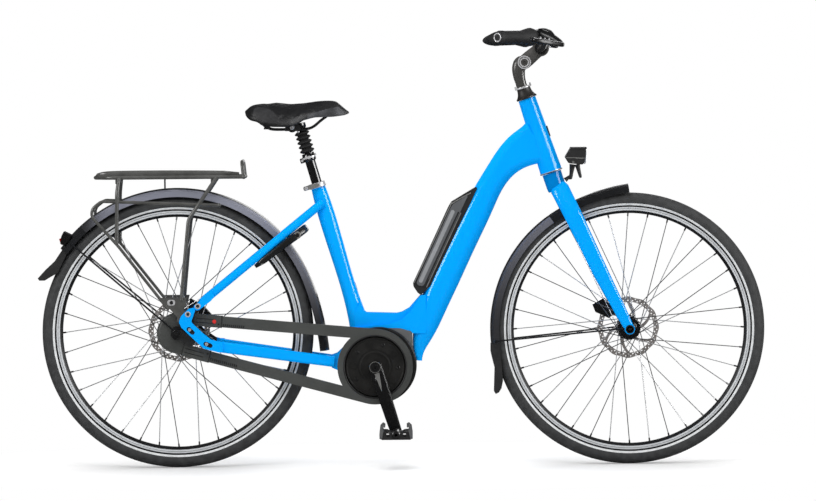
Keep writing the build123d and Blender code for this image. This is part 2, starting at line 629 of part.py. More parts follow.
def rear_rack():
    """Tube carrier: a platform loop with cross bars, an upright hoop in front, and pannier rails on bent legs."""
    tube = RACK_TUBE_DIAMETER
    top = RACK_TOP_HEIGHT - tube / 2
    half = RACK_HALF_WIDTH - tube / 2
    front, rear = RACK_FRONT - tube / 2, RACK_REAR + tube / 2
    loop = [Vector(front, -half, top), Vector(rear + 40, -half, top), Vector(rear, -18, top)]
    loop += [Vector(rear, 18, top), Vector(rear + 40, half, top), Vector(front, half, top)]
    rack = pipe(loop, [30.0, 20.0, 20.0, 30.0], tube)
    hoop = [Vector(front, -half, top), Vector(front - 4, -half + 4, top + 38)]
    hoop += [Vector(front - 4, half - 4, top + 38)]
    rack += pipe(hoop + [Vector(front, half, top)], [16.0, 16.0], tube)
    for flank in SIDES:
        rack += Pos(front, flank * half, top) * Sphere(RACK_JOINT_RADIUS)
        rack += rod(Vector(front, flank * 16, top), Vector(rear, flank * 16, top), tube * 0.7)
    for place in (front, *RACK_CROSS_BARS):
        rack += rod(Vector(place, -half, top), Vector(place, half, top), tube * 0.8)
    foot = REAR_PLATE_OUTER + RACK_GUSSET_THICKNESS / 2
    rail = [from_rear_hub(112, 328, PANNIER_RAIL_OFFSET), from_rear_hub(-190, 340, PANNIER_RAIL_OFFSET)]
    rail += [from_rear_hub(-226, 312, PANNIER_RAIL_OFFSET), from_rear_hub(-147, 224, PANNIER_RAIL_OFFSET + 4)]
    rail += [from_rear_hub(-20, 61, foot)]
    leg = pipe(rail, [22.0, 24.0, 200.0], tube * 0.8)
    leg += Pos(rail[0]) * Sphere(RACK_JOINT_RADIUS - 1)
    rear_leg = [Vector(-145, half, top), Vector(-150, PANNIER_RAIL_OFFSET, REAR_HUB.Z + 360)]
    rear_leg += [Vector(-152, PANNIER_RAIL_OFFSET + 4, REAR_HUB.Z + 231)]
    leg += pipe(rear_leg, [60.0], tube)
    front_leg = [Vector(106, half, top), from_rear_hub(62, 334, PANNIER_RAIL_OFFSET)]
    front_leg += [from_rear_hub(33, 292, PANNIER_RAIL_OFFSET + 2), from_rear_hub(13, 85, foot)]
    leg += pipe(front_leg, [120.0, 40.0], tube)
    gusset = [(-40, 92), (27, 92), (22, 70), (13, 42), (2, 42), (-34, 82)]
    outer = REAR_PLATE_OUTER + RACK_GUSSET_THICKNESS
    leg += plate(flat(from_rear_hub(*p) for p in gusset), REAR_PLATE_OUTER, outer)
    tab = [(2, 58), (2, 30), (22, 30), (30, 58)]
    leg += plate(flat(from_rear_hub(*p) for p in tab), REAR_PLATE_OUTER, outer)
    return rack + mirrored(leg) - dropout_links() - rear_fender()


def ring_lock():
    """Horseshoe frame lock that reaches round the tyre from under the seat stays."""
    rear_end = from_rear_hub(206, 178)
    front_end = from_rear_hub(318, 260)
    along = (front_end - rear_end).normalized()
    frame = Plane(origin=rear_end, x_dir=along, z_dir=Vector(-along.Z, 0, along.X))
    length = (front_end - rear_end).length
    outer_half, inner_half = 56.0, 36.0
    outline = Pos(length / 2, 0) * RectangleRounded(length, 2 * outer_half, 40.0)
    throat = Pos(length / 2 - 26, 0) * RectangleRounded(length + 20, 2 * inner_half, 34.0)
    opening = Pos(-10, 0) * Rectangle(60, 2 * inner_half)
    body = extrude(frame * (outline - throat - opening), amount=11.0, both=True)
    return body - seat_stays() - rear_fender()


def rear_caliper():
    """Brake body over the rotor's edge, on a foot against the left dropout."""
    centre = from_rear_hub(62, 52)
    slot_middle = REAR_ROTOR_OFFSET + ROTOR_THICKNESS / 2
    outline = [(30, 84), (66, 62), (84, 42), (70, 14), (58, 24), (40, 44), (24, 56)]
    body = plate(flat(from_rear_hub(*p) for p in outline), slot_middle - 15, REAR_PLATE_FACE)
    slot = drum(REAR_HUB, ROTOR_RADIUS + 4, slot_middle - ROTOR_SLOT_HALF, slot_middle + ROTOR_SLOT_HALF)
    inside = drum(REAR_HUB, REAR_HUB_RADIUS + 20, 0, REAR_DROPOUT_FACE)
    return body - slot - inside - seat_stays() - chainstays() - axle_carriers() - dropout_links()


def rear_axle():
    """Threaded axle with cones and nuts."""
    reach = REAR_PLATE_FACE + STAY_EYE_THICKNESS + AXLE_NUT_HEIGHT + AXLE_END
    axle = drum(REAR_HUB, AXLE_DIAMETER / 2, -reach, reach)
    inner_right = REAR_HUB_HALF_WIDTH + RUNNING_GAP
    inner_left = REAR_ROTOR_OFFSET + ROTOR_THICKNESS + RUNNING_GAP
    axle += drum(REAR_HUB, 11.0, -REAR_DROPOUT_FACE, -inner_right)
    axle += drum(REAR_HUB, 9.0, inner_left, REAR_DROPOUT_FACE)
    for flank in SIDES:
        nut = REAR_PLATE_FACE + STAY_EYE_THICKNESS
        axle += drum(REAR_HUB, 9.0, flank * nut, flank * (nut + AXLE_NUT_HEIGHT))
    return axle


# ---- fork and front end --------------------------------------------------------------------------
def on_steering(distance, forward=0.0, y=0.0):
    """Point given by its distance above the head tube's lower end and ahead of the steering axis."""
    return HEAD_BOTTOM + STEER_UP * distance + STEER_FORWARD * forward + Vector(0, y, 0)


def blade_line():
    """Left blade's centre: crown, shoulder and dropout."""
    crown = on_steering(-44.0, 4.0, 34.0)
    foot = from_front_hub(-8, 18, FRONT_DROPOUT_SPACING / 2 + 6.0)
    return crown, foot


def fork():
    """Steerer, crown and two straight tapering blades with dropout plates."""
    steerer = rod(on_steering(-30), on_steering(HEAD_TUBE_LENGTH + 34), STEERER_DIAMETER)
    crown_top = -RUNNING_GAP
    crown = rod(on_steering(crown_top), on_steering(-46), HEAD_TUBE_BOTTOM_DIAMETER, 50.0)
    top, foot = blade_line()
    direction = (foot - top).normalized()
    ahead = Vector(-direction.Z, 0, direction.X)
    sections = []
    for share, depth, width in ((-0.03, 42.0, 24.0), (0.12, 44.0, 26.0), (0.5, 39.0, 23.0), (1.0, 27.0, 14.0)):
        frame = Plane(origin=top + (foot - top) * share, x_dir=ahead, z_dir=direction)
        sections.append(frame * Ellipse(depth / 2, width / 2))
    blade = loft(sections)
    dropout = [(-26, 36), (-6, 44), (8, 10), (9, -8), (0, -14), (-12, -8), (-20, 10)]
    half = FRONT_DROPOUT_SPACING / 2
    blade += plate(flat(from_front_hub(*p) for p in dropout), half, half + FRONT_DROPOUT_THICKNESS)
    blade -= drum(FRONT_HUB, AXLE_DIAMETER / 2, half - 10, half + 20)
    blade -= drum(FRONT_HUB, 16.0, 0, half)
    shoulders = Plane(origin=on_steering(-38, 2), x_dir=(0, 1, 0), z_dir=STEER_UP)
    yoke = extrude(shoulders * RectangleRounded(88.0, 42.0, 20.0), amount=13.0, both=True)
    return steerer + crown + yoke + mirrored(blade)


def front_axle():
    """Axle with end cones and caps."""
    half = FRONT_DROPOUT_SPACING / 2
    axle = drum(FRONT_HUB, AXLE_DIAMETER / 2, -half - 14, half + 14)
    axle += drum(FRONT_HUB, 9.0, -half, -FRONT_HUB_HALF_WIDTH - RUNNING_GAP)
    axle += drum(FRONT_HUB, 9.0, FRONT_ROTOR_OFFSET + ROTOR_THICKNESS + RUNNING_GAP, half)
    for flank in SIDES:
        axle += drum(FRONT_HUB, 11.0, flank * (half + FRONT_DROPOUT_THICKNESS), flank * (half + 14))
    return axle - fork()


def front_fender():
    shell = fender_arc(FRONT_HUB, FRONT_FENDER_RADIUS, FRONT_FENDER_RADIUS, 0, 125, 186)
    shell += fender_arc(FRONT_HUB, FRONT_FENDER_RADIUS, FRONT_FENDER_END_CURVE, 125, 98.3, 125)
    start = from_front_hub(-13, 2, FRONT_DROPOUT_SPACING / 2 + FRONT_DROPOUT_THICKNESS + 1)
    shell += fender_stay(FRONT_HUB, start, FRONT_FENDER_RADIUS - 14, 185.0)
    return shell - fork()


def front_mudflap():
    outline = [(185.8, 0.8), (189.2, 3.7), (192.8, 3), (196.1, 3.1), (200.5, 13.5), (204.6, 25.9)]
    outline += [(205.7, 24.9), (205.7, 15.9), (204.6, 4.9), (201.9, -6.7), (186.2, -23.1)]
    piece = fender_plate(FRONT_HUB, FRONT_FENDER_RADIUS, outline, 26.0)
    cut_outline = [(183.3, -5.4), (192.9, 1), (196.9, -0.5), (204.7, 19.6), (209.5, -13.2)]
    cut_outline += [(183.8, -57.3)]
    hollow = fender_plate(FRONT_HUB, FRONT_FENDER_RADIUS, cut_outline, 23.0)
    return piece - hollow - front_fender()


def headlamp():
    """Lamp shell on a curved arm from the fork crown."""
    outline = [(108, -127), (150, -127), (148, -146), (144, -172), (106, -169), (95, -152)]
    shell = plate(flat(from_head_top(*p) for p in outline), -24.0, 24.0)
    shell = fillet(shell.edges().filter_by(Axis.Y), 5.0)
    foot = on_steering(-30, 28.0)
    arm = [foot, foot + Vector(10, 0, 6), from_head_top(112, 0) + Vector(0, 0, -200), from_head_top(120, -166)]
    arm_solid = pipe(arm, [6.0, 14.0], 9.0)
    return shell + arm_solid - fork()


def headset_cone():
    """Flared spacer on top of the head tube with a ring above it."""
    bottom = HEAD_TUBE_LENGTH + RUNNING_GAP
    cone = rod(on_steering(bottom), on_steering(bottom + 4), 53.0)
    cone += rod(on_steering(bottom + 4), on_steering(bottom + 24), 50.0, 34.0)
    cone += rod(on_steering(bottom + 24), on_steering(bottom + 28), 34.0)
    return cone - rod(on_steering(bottom - 1), on_steering(bottom + 40), STEERER_DIAMETER)


def bar_clamp():
    return from_head_top(36, 129.6)


def stem():
    """Adjustable stem: a swept column, a pivot and an arm up to the bar clamp."""
    bottom = on_steering(HEAD_TUBE_LENGTH + RUNNING_GAP + 28)
    outline = [(bottom.X - 14.4, bottom.Z - 4.7), (bottom.X + 14.4, bottom.Z + 4.7)]
    shoulder = [(-3, 55), (5, 75), (15, 88), (39, 114), (50, 121), (24, 146), (3, 131)]
    shoulder += [(-28, 104), (-38, 92), (-38, 76)]
    outline += flat(from_head_top(*p) for p in shoulder)
    body = plate(outline, -STEM_HALF_WIDTH, STEM_HALF_WIDTH)
    body = fillet(body.edges().filter_by(Axis.Y), 4.0)
    pivot = from_head_top(-8, 93)
    body += drum(pivot, 17.0, -STEM_HALF_WIDTH - 4, STEM_HALF_WIDTH + 4)
    clamp = bar_clamp()
    body += drum(clamp, HANDLEBAR_CLAMP_DIAMETER / 2 + 5, -STEM_CLAMP_HALF, STEM_CLAMP_HALF)
    steerer = rod(on_steering(HEAD_TUBE_LENGTH), on_steering(HEAD_TUBE_LENGTH + 34), STEERER_DIAMETER)
    bulge = drum(clamp, HANDLEBAR_CLAMP_DIAMETER / 2, -BAR_BULGE_HALF, BAR_BULGE_HALF)
    return body - bulge - steerer - headset_cone()


def grip_ends(flank):
    """Inner and outer end of a grip's centre line."""
    return from_head_top(10, 157, flank * 200.0), from_head_top(-77, 155.5, flank * 305.0)


def handlebar():
    """Swept-back bar, thicker in the stem's clamp."""
    clamp = bar_clamp()
    right_inner, right_outer = grip_ends(-1)
    left_inner, left_outer = grip_ends(1)
    right_bend = right_inner + (right_inner - right_outer) * 0.42
    left_bend = left_inner + (left_inner - left_outer) * 0.42
    points = [right_outer, right_bend, side(clamp, -48.0), side(clamp, 48.0), left_bend, left_outer]
    bar = pipe(points, [55.0, 90.0, 90.0, 55.0], HANDLEBAR_DIAMETER)
    return bar + drum(clamp, HANDLEBAR_CLAMP_DIAMETER / 2, -BAR_BULGE_HALF, BAR_BULGE_HALF)


def grips():
    """Grips with a palm wing behind and a disc at the bar's end."""
    pair = None
    for flank in SIDES:
        inner, outer = grip_ends(flank)
        along = (outer - inner).normalized()
        behind = along.cross(Vector(0, 0, -flank)).normalized()
        frame = Plane(origin=inner, x_dir=behind, z_dir=Vector(0, 0, 1))
        length = (outer - inner).length
        lengthwise = frame.to_local_coords(outer).Y / length
        wing = [(0, 25), (14, 40), (36, 92), (42, 112), (40, 130), (30, 142), (0, 144)]
        face = make_face(Polyline(*[(x, y * lengthwise) for x, y in wing], close=True))
        grip = rod(inner, outer + along * 6, GRIP_DIAMETER)
        grip += extrude(frame * face, amount=7.0, both=True)
        grip -= rod(inner, outer, HANDLEBAR_DIAMETER)
        pair = grip if pair is None else pair + grip
    return pair - handlebar()


def brake_levers():
    """Lever perches clamped inside the grips, with blades that run ahead of the grips."""
    pair = None
    for flank in SIDES:
        inner, outer = grip_ends(flank)
        along = (inner - outer).normalized()
        clamp_from, clamp_to = inner + along * 3, inner + along * 17
        perch = rod(clamp_from, clamp_to, HANDLEBAR_DIAMETER + 12)
        middle = (clamp_from + clamp_to) * 0.5
        nose = middle + Vector(abs(along.Y), flank * abs(along.X), 0) * 58 + Vector(0, flank * -8, -22)
        perch += rod(middle, nose, 20.0, 15.0)
        tip = nose + (outer - inner).normalized() * 96 + Vector(0, 0, 30)
        perch += rod(nose, tip, 10.0, 8.0) + Pos(tip) * Sphere(6.0) + Pos(nose) * Sphere(8.0)
        pair = perch if pair is None else pair + perch
    return pair - handlebar()


def display():
    """Small tilted computer beside the stem."""
    clamp = bar_clamp()
    centre = side(clamp, 58.0) + Vector(20, 0, 24)
    body = Location(centre, (0, 24, 0)) * Box(62, 46, 12)
    strap = drum(clamp, HANDLEBAR_DIAMETER / 2 + 6, DISPLAY_CLAMP_INNER, DISPLAY_CLAMP_OUTER)
    arm = rod(side(clamp, 42.0) + Vector(6, 0, 8), side(centre, 46.0), 10.0)
    return body + strap + arm - handlebar() - stem()


def front_caliper():
    """Brake body over the front rotor's edge, on the left blade."""
    slot_middle = FRONT_ROTOR_OFFSET + ROTOR_THICKNESS / 2
    outline = [(-92, 60), (-62, 78), (-42, 58), (-30, 40), (-50, 24), (-70, 34), (-84, 40)]
    body = plate(flat(from_front_hub(*p) for p in outline), slot_middle - 7, FRONT_DROPOUT_SPACING / 2 + 6)
    slot = drum(FRONT_HUB, ROTOR_RADIUS + 4, slot_middle - ROTOR_SLOT_HALF, slot_middle + ROTOR_SLOT_HALF)
    return body - slot - fork()


# ---- saddle --------------------------------------------------------------------------------------
def on_seat(distance):
    return SEAT_TUBE_TOP + SEAT_UP * distance


def seatpost():
    """Straight post with a collar, a suspension spring core and a saddle clamp."""
    post = rod(on_seat(-SEAT_POST_INSERT), on_seat(66), SEAT_POST_DIAMETER)
    post += rod(on_seat(66), on_seat(84), SEAT_POST_DIAMETER + 8)
    post += rod(on_seat(84), on_seat(148), SEAT_POST_DIAMETER - 8)
    head = SADDLE_CLAMP
    block = Location(head, (0, 0, 0)) * Pos(-1, 0, 14) * Box(52, 34, 18)
    return post + block - saddle_rails()


def bellows():
    """Ribbed rubber boot over the post's spring."""
    start, stop, folds = 84.0, 142.0, 6
    pitch = (stop - start) / folds
    boot = None
    for index in range(folds):
        foot = start + pitch * index
        ring = rod(on_seat(foot), on_seat(foot + pitch / 2), 27.0, 34.0)
        ring += rod(on_seat(foot + pitch / 2), on_seat(foot + pitch), 34.0, 27.0)
        boot = ring if boot is None else boot + ring
    return boot - rod(on_seat(start - 1), on_seat(stop + 1), SEAT_POST_DIAMETER - 8) - seatpost()


def from_seat(dx, dz, y=0.0):
    """Point placed from the rider's seat."""
    return RIDER + Vector(dx, y, dz)


def saddle_rails():
    """Two steel rails under the saddle."""
    rail = [from_seat(-62, -40, 26), from_seat(-16, -68, 22), from_seat(76, -68, 22), from_seat(126, -36, 12)]
    return mirrored(pipe(rail, [30.0, 30.0], 7.0))


SADDLE_STATIONS = (
    (-80.0, -40.0, -18.0, 96.0),
    (-72.0, -44.0, -6.0, 124.0),
    (-40.0, -56.0, 2.0, 158.0),
    (0.0, -58.0, 0.0, 160.0),
    (40.0, -54.0, -3.0, 132.0),
    (85.0, -38.0, 1.0, 84.0),
    (130.0, -34.0, 6.0, 56.0),
    (165.0, -33.0, 2.0, 46.0),
    (185.0, -31.0, -20.0, 26.0),
)


def saddle():
    """Padded seat: a loft of rounded sections from the tail to the nose."""
    sections = []
    for dx, low, high, width in SADDLE_STATIONS:
        height = high - low
        frame = Plane(origin=from_seat(dx, (low + high) / 2), x_dir=(0, 1, 0), z_dir=(1, 0, 0))
        sections.append(frame * RectangleRounded(width, height, min(width, height) * 0.42))
    return loft(sections) - saddle_rails() - seatpost()


# ---- output --------------------------------------------------------------------------------------
def wheel_nodes(prefix, hub, shell, flange, rotor_offset):
    radius, half_width = shell
    flange_radius, flange_offset = flange
    return {
        f"{prefix}_tyre": tyre(hub),
        f"{prefix}_rim": rim(hub),
        f"{prefix}_spokes": spokes(hub, flange_radius, flange_offset),
        f"{prefix}_hub": hub_shell(hub, radius, half_width, flange_radius, flange_offset, rotor_offset),
        f"{prefix}_rotor": rotor(hub, rotor_offset),
    }


def nodes():
    """Every sub-part by name."""
    parts = {
        "down_tube": down_tube(),
        "head_tube": head_tube(),
        "seat_tube": seat_tube(),
        "motor_bracket": motor_bracket(),
        "chainstays": chainstays(),
        "seat_stays": seat_stays(),
        "dropout_links": dropout_links(),
        "axle_carriers": axle_carriers(),
        "seat_clamp": seat_clamp(),
        "motor": motor(),
        "chain_case": chain_case(),
        "battery": battery(),
        "rear_axle": rear_axle(),
        "rear_caliper": rear_caliper(),
        "rear_fender": rear_fender(),
        "rear_mudflap": rear_mudflap(),
        "rear_lamp": rear_lamp(),
        "rear_rack": rear_rack(),
        "ring_lock": ring_lock(),
        "fork": fork(),
        "front_axle": front_axle(),
        "front_caliper": front_caliper(),
        "front_fender": front_fender(),
        "front_mudflap": front_mudflap(),
        "headlamp": headlamp(),
        "headset_cone": headset_cone(),
        "stem": stem(),
        "handlebar": handlebar(),
        "grips": grips(),
        "brake_levers": brake_levers(),
        "display": display(),
        "cranks": cranks(),
        "chainring": chainring(),
        "pedal_right": pedal(-1),
        "pedal_left": pedal(1),
        "saddle": saddle(),
        "saddle_rails": saddle_rails(),
        "seatpost": seatpost(),
        "bellows": bellows(),
    }
    rear_shell = (REAR_HUB_RADIUS, REAR_HUB_HALF_WIDTH)
    rear_flange = (REAR_FLANGE_RADIUS, REAR_FLANGE_OFFSET)
    front_shell = (FRONT_HUB_RADIUS, FRONT_HUB_HALF_WIDTH)
    front_flange = (FRONT_FLANGE_RADIUS, FRONT_FLANGE_OFFSET)
    parts.update(wheel_nodes("rear", REAR_HUB, rear_shell, rear_flange, REAR_ROTOR_OFFSET))
    parts.update(wheel_nodes("front", FRONT_HUB, front_shell, front_flange, FRONT_ROTOR_OFFSET))
    return parts


os.makedirs("parts", exist_ok=True)
for name, shape in nodes().items():
    export_step(Pos(-RIDER) * shape, f"parts/{name}.step")
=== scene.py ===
"""City electric bicycle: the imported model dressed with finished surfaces, fittings and finishes.

Shapes are laid out in millimetres from the point on the ground below the rear hub, +X forward, +Y to the
rider's left and +Z up, and `laid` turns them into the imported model's own metres. Every new piece is a grid of
points, a profile carried along a line, or an outline given a thickness, joined into one mesh at the origin.
"""

import json
import math

import bmesh
import bpy
import numpy as np
from mathutils import Matrix, Vector
from mathutils.geometry import tessellate_polygon

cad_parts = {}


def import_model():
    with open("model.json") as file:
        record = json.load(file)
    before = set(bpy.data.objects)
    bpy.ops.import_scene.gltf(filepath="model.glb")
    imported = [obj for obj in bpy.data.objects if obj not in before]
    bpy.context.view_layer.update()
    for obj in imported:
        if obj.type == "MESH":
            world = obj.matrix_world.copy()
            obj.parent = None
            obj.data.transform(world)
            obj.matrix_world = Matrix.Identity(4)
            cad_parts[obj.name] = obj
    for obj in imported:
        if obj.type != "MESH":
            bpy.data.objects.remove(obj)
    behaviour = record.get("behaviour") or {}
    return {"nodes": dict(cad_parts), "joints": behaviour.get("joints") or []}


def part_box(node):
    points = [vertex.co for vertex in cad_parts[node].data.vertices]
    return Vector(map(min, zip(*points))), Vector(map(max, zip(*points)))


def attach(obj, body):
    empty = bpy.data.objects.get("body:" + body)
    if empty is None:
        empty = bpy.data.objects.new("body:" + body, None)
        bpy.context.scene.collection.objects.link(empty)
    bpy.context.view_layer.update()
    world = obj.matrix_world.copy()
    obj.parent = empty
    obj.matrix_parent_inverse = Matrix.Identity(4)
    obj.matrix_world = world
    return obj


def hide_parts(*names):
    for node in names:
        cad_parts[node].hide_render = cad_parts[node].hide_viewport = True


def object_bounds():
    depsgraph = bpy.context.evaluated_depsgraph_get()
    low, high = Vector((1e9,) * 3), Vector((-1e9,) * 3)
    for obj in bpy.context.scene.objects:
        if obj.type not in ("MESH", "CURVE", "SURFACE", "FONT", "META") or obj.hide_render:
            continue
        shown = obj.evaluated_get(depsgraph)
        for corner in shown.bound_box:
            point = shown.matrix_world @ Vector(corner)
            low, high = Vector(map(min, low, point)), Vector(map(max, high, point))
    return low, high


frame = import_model()
NODES = frame["nodes"]
CAD_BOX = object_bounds()
JOINTS = {joint["name"]: joint for joint in frame["joints"]}

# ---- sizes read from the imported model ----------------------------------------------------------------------
MM = 0.001
HUB_PLACE = np.array(JOINTS["rear_wheel_spin"]["pos_m"])
TYRE_RADIUS = (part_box("rear_tyre")[1].z - HUB_PLACE[2]) / MM
ORIGIN = HUB_PLACE - np.array([0.0, 0.0, TYRE_RADIUS * MM])


def laid(points):
    """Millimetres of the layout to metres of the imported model."""
    return ORIGIN + np.asarray(points, float) * MM


def laid_out(place):
    """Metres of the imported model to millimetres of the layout."""
    return (np.array(place) - ORIGIN) / MM


REAR_HUB = laid_out(HUB_PLACE)
FRONT_HUB = laid_out(JOINTS["front_wheel_spin"]["pos_m"])
BRACKET = laid_out(JOINTS["crank_spin"]["pos_m"])
RIGHT_PEDAL = laid_out(JOINTS["pedal_right_spin"]["pos_m"])
STEER_FOOT = laid_out(JOINTS["steer"]["pos_m"])
STEER_UP = np.array(JOINTS["steer"]["axis"])
STEER_AHEAD = np.array([STEER_UP[2], 0.0, -STEER_UP[0]])
SEAT_UP = np.array(JOINTS["saddle_height"]["axis"])
SEAT_AHEAD = np.array([SEAT_UP[2], 0.0, -SEAT_UP[0]])
SEAT = laid_out((0.0, 0.0, 0.0))


# ---- mesh building -----------------------------------------------------------------------------------------
def grid(points, wrap_u=False, wrap_v=False, caps=False, slot=0):
    """Shell over points[u, v]: each cell of the grid is one face, a wrapped direction closes on itself, and
    caps close the first and last row of a shell wrapped along v. The slot is one number, or one for each
    column."""
    points = np.asarray(points, float)
    rows, columns = points.shape[:2]
    index = np.arange(rows * columns).reshape(rows, columns)
    if wrap_u:
        index = np.vstack([index, index[:1]])
    if wrap_v:
        index = np.hstack([index, index[:, :1]])
    cells = np.stack([index[:-1, :-1], index[1:, :-1], index[1:, 1:], index[:-1, 1:]], axis=-1).reshape(-1, 4)
    faces = cells.tolist()
    slots = np.broadcast_to(slot, index[:-1, :-1].shape).ravel().tolist()
    if caps:
        faces += [index[0, :columns].tolist(), index[-1, :columns][::-1].tolist()]
        slots += slots[:1] * 2
    return points.reshape(-1, 3), faces, slots


def piece(name, body, shells, finishes, replaces=(), sharp=35.0, bevel=0.0):
    """Joins shells into one object of given finishes, riding on a body, with its faces turned outwards."""
    points, faces, slots, start = [], [], [], 0
    for corners, cells, number in shells:
        points.append(corners)
        faces += [[corner + start for corner in cell] for cell in cells]
        slots += np.broadcast_to(number, len(cells)).tolist()
        start += len(corners)
    mesh = bpy.data.meshes.new(name)
    mesh.from_pydata(laid(np.vstack(points)).tolist(), [], faces)
    mesh.polygons.foreach_set("material_index", slots)
    tidy = bmesh.new()
    tidy.from_mesh(mesh)
    bmesh.ops.remove_doubles(tidy, verts=tidy.verts, dist=1e-6)
    bmesh.ops.recalc_face_normals(tidy, faces=tidy.faces)
    tidy.to_mesh(mesh)
    tidy.free()
    mesh.shade_smooth()
    mesh.set_sharp_from_angle(angle=math.radians(sharp))
    thing = bpy.data.objects.new(name, mesh)
    bpy.context.scene.collection.objects.link(thing)
    for coat in finishes if isinstance(finishes, (list, tuple)) else [finishes]:
        mesh.materials.append(coat)
    if bevel:
        edge = thing.modifiers.new("edge", "BEVEL")
        edge.width = bevel * MM
        edge.segments = 3
        edge.limit_method = "ANGLE"
        edge.angle_limit = math.radians(40)
        edge.harden_normals = True
    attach(thing, body)
    if replaces:
        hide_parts(*replaces)
    return thing


def unit(vector):
    """The vector, or each row of vectors, at length 1."""
    vector = np.asarray(vector, float)
    return vector / np.linalg.norm(vector, axis=-1, keepdims=True)


def curve(points, steps=48):
    """Smooth line through the points: on each stretch a cubic whose end slopes are half the step between the
    neighbouring points, sampled evenly."""
    points = np.asarray(points, float)
    ring = np.vstack([2 * points[0] - points[1], points, 2 * points[-1] - points[-2]])
    places = np.linspace(0, len(points) - 1, steps)
    first = np.minimum(places.astype(int), len(ring) - 4)
    t = (places - first)[:, None]
    a, b, c, d = (ring[first + shift] for shift in range(4))
    return 0.5 * (2 * b + (c - a) * t + (2 * a - 5 * b + 4 * c - d) * t**2 + (3 * b - a - 3 * c + d) * t**3)


def rounded(corners, radius, steps=6):
    """Closed outline whose corners are replaced by arcs of the given radius, or of one radius per corner."""
    corners = np.asarray(corners, float)
    radii = np.broadcast_to(radius, len(corners))
    outline = []
    for index, corner in enumerate(corners):
        back, ahead = unit(corners[index - 1] - corner), unit(corners[(index + 1) % len(corners)] - corner)
        half = 0.5 * math.acos(np.clip(np.dot(back, ahead), -0.9999, 0.9999))
        room = 0.48 * min(
            np.linalg.norm(corners[index - 1] - corner),
            np.linalg.norm(corners[(index + 1) % len(corners)] - corner)
        )
        reach = min(radii[index] / math.tan(half), room)
        if reach < 1e-3 or half > 1.5:
            outline.append(corner)
            continue
        centre = corner + unit(back + ahead) * reach / math.cos(half)
        start, stop = corner + back * reach - centre, corner + ahead * reach - centre
        turn = math.pi - 2 * half
        for share in np.linspace(0, 1, steps):
            spot = start * math.sin((1 - share) * turn) + stop * math.sin(share * turn)
            outline.append(centre + spot / math.sin(turn))
    return np.array(outline)


def circle(radius, steps=32):
    """Points of a circle in the plane, in order."""
    turn = np.linspace(0, 2 * np.pi, steps, endpoint=False)
    return radius * np.stack([np.cos(turn), np.sin(turn)], axis=-1)


def carried(line, profile, across=(0.0, 1.0, 0.0), slot=0):
    """Profile carried along a line: each row is the line's point plus the profile's first number across and
    its second at right angles to both. The profile may change from row to row."""
    line = np.asarray(line, float)
    profile = np.broadcast_to(profile, (len(line),) + np.shape(profile)[-2:])
    ahead = unit(np.gradient(line, axis=0))
    up = unit(np.cross(ahead, across))
    sideways = np.cross(up, ahead)
    rows = line[:, None] + profile[:, :, :1] * sideways[:, None] + profile[:, :, 1:] * up[:, None]
    return grid(rows, wrap_v=True, caps=True, slot=slot)


def tube(line, radius, across=(0.0, 1.0, 0.0), sides=20, slot=0):
    """Round tube along a line, with one radius or one for each point of the line."""
    scale = np.broadcast_to(radius, len(line))[:, None, None]
    return carried(line, circle(1.0, sides) * scale, across, slot=slot)


def turned(profile, centre, axis=(0.0, 1.0, 0.0), steps=96, slot=0, closed=True):
    """Body of revolution: the profile's points are (radius, distance along the axis), turned about the axis.
    An open profile that starts and ends at radius 0 closes itself."""
    axis = unit(axis)
    helper = (0.0, 0.0, 1.0) if abs(axis[2]) < 0.9 else (1.0, 0.0, 0.0)
    first = unit(np.cross(axis, helper))
    second = np.cross(axis, first)
    profile = np.asarray(profile, float)
    turn = np.linspace(0, 2 * np.pi, steps, endpoint=False)[:, None, None]
    radius, along = profile[None, :, :1], profile[None, :, 1:]
    rows = centre + radius * (np.cos(turn) * first + np.sin(turn) * second) + along * axis
    return grid(rows, wrap_u=True, wrap_v=closed, slot=slot)


def disc_profile(radius, low, high, edge=1.0):
    """Half section of a disc with rounded edges, from the axis out and back to it."""
    bend = np.linspace(0, np.pi / 2, 5)
    top = np.stack([radius - edge + edge * np.sin(bend), high - edge + edge * np.cos(bend)], axis=-1)
    foot = np.stack([radius - edge + edge * np.cos(bend), low + edge - edge * np.sin(bend)], axis=-1)
    return np.vstack([[0, high], top, foot, [0, low]])


def plate(
    outline, low, high, holes=(), centre=(0.0, 0.0, 0.0), right=(1.0, 0.0, 0.0), up=(0.0, 0.0, 1.0), slot=0
):
    """Flat sheet between two heights over a plane, with holes: the outline and the holes are (right, up)
    points, the two faces are split into triangles and a wall runs along every edge."""
    loops = [np.asarray(outline, float)] + [np.asarray(hole, float) for hole in holes]
    flat = np.vstack(loops)
    count = len(flat)
    right, up = np.asarray(right, float), np.asarray(up, float)
    normal = np.cross(right, up)
    base = np.asarray(centre, float) + flat[:, :1] * right + flat[:, 1:] * up
    points = np.vstack([base + low * normal, base + high * normal])
    cells = [
        list(cell) for cell in tessellate_polygon([[Vector((x, z, 0.0)) for x, z in loop] for loop in loops])
    ]
    faces = cells + [[corner + count for corner in cell][::-1] for cell in cells]
    start = 0
    for loop in loops:
        ring = np.arange(len(loop))
        after = np.roll(ring, -1)
        wall = np.stack([ring + start, after + start, after + start + count, ring + start + count], axis=-1)
        faces += wall.tolist()
        start += len(loop)
    return points, faces, slot


# ---- finishes ----------------------------------------------------------------------------------------------
def linear(shade):
    """sRGB 0-255 to the linear value a shader reads."""
    share = np.asarray(shade, float) / 255.0
    return np.where(share <= 0.04045, share / 12.92, ((share + 0.055) / 1.055) ** 2.4)


def socket_node(tree, kind, **inputs):
    """Node of a kind with some of its inputs set, by name."""
    node = tree.nodes.new(kind)
    for key, value in inputs.items():
        node.inputs[key.replace("_", " ")].default_value = value
    return node


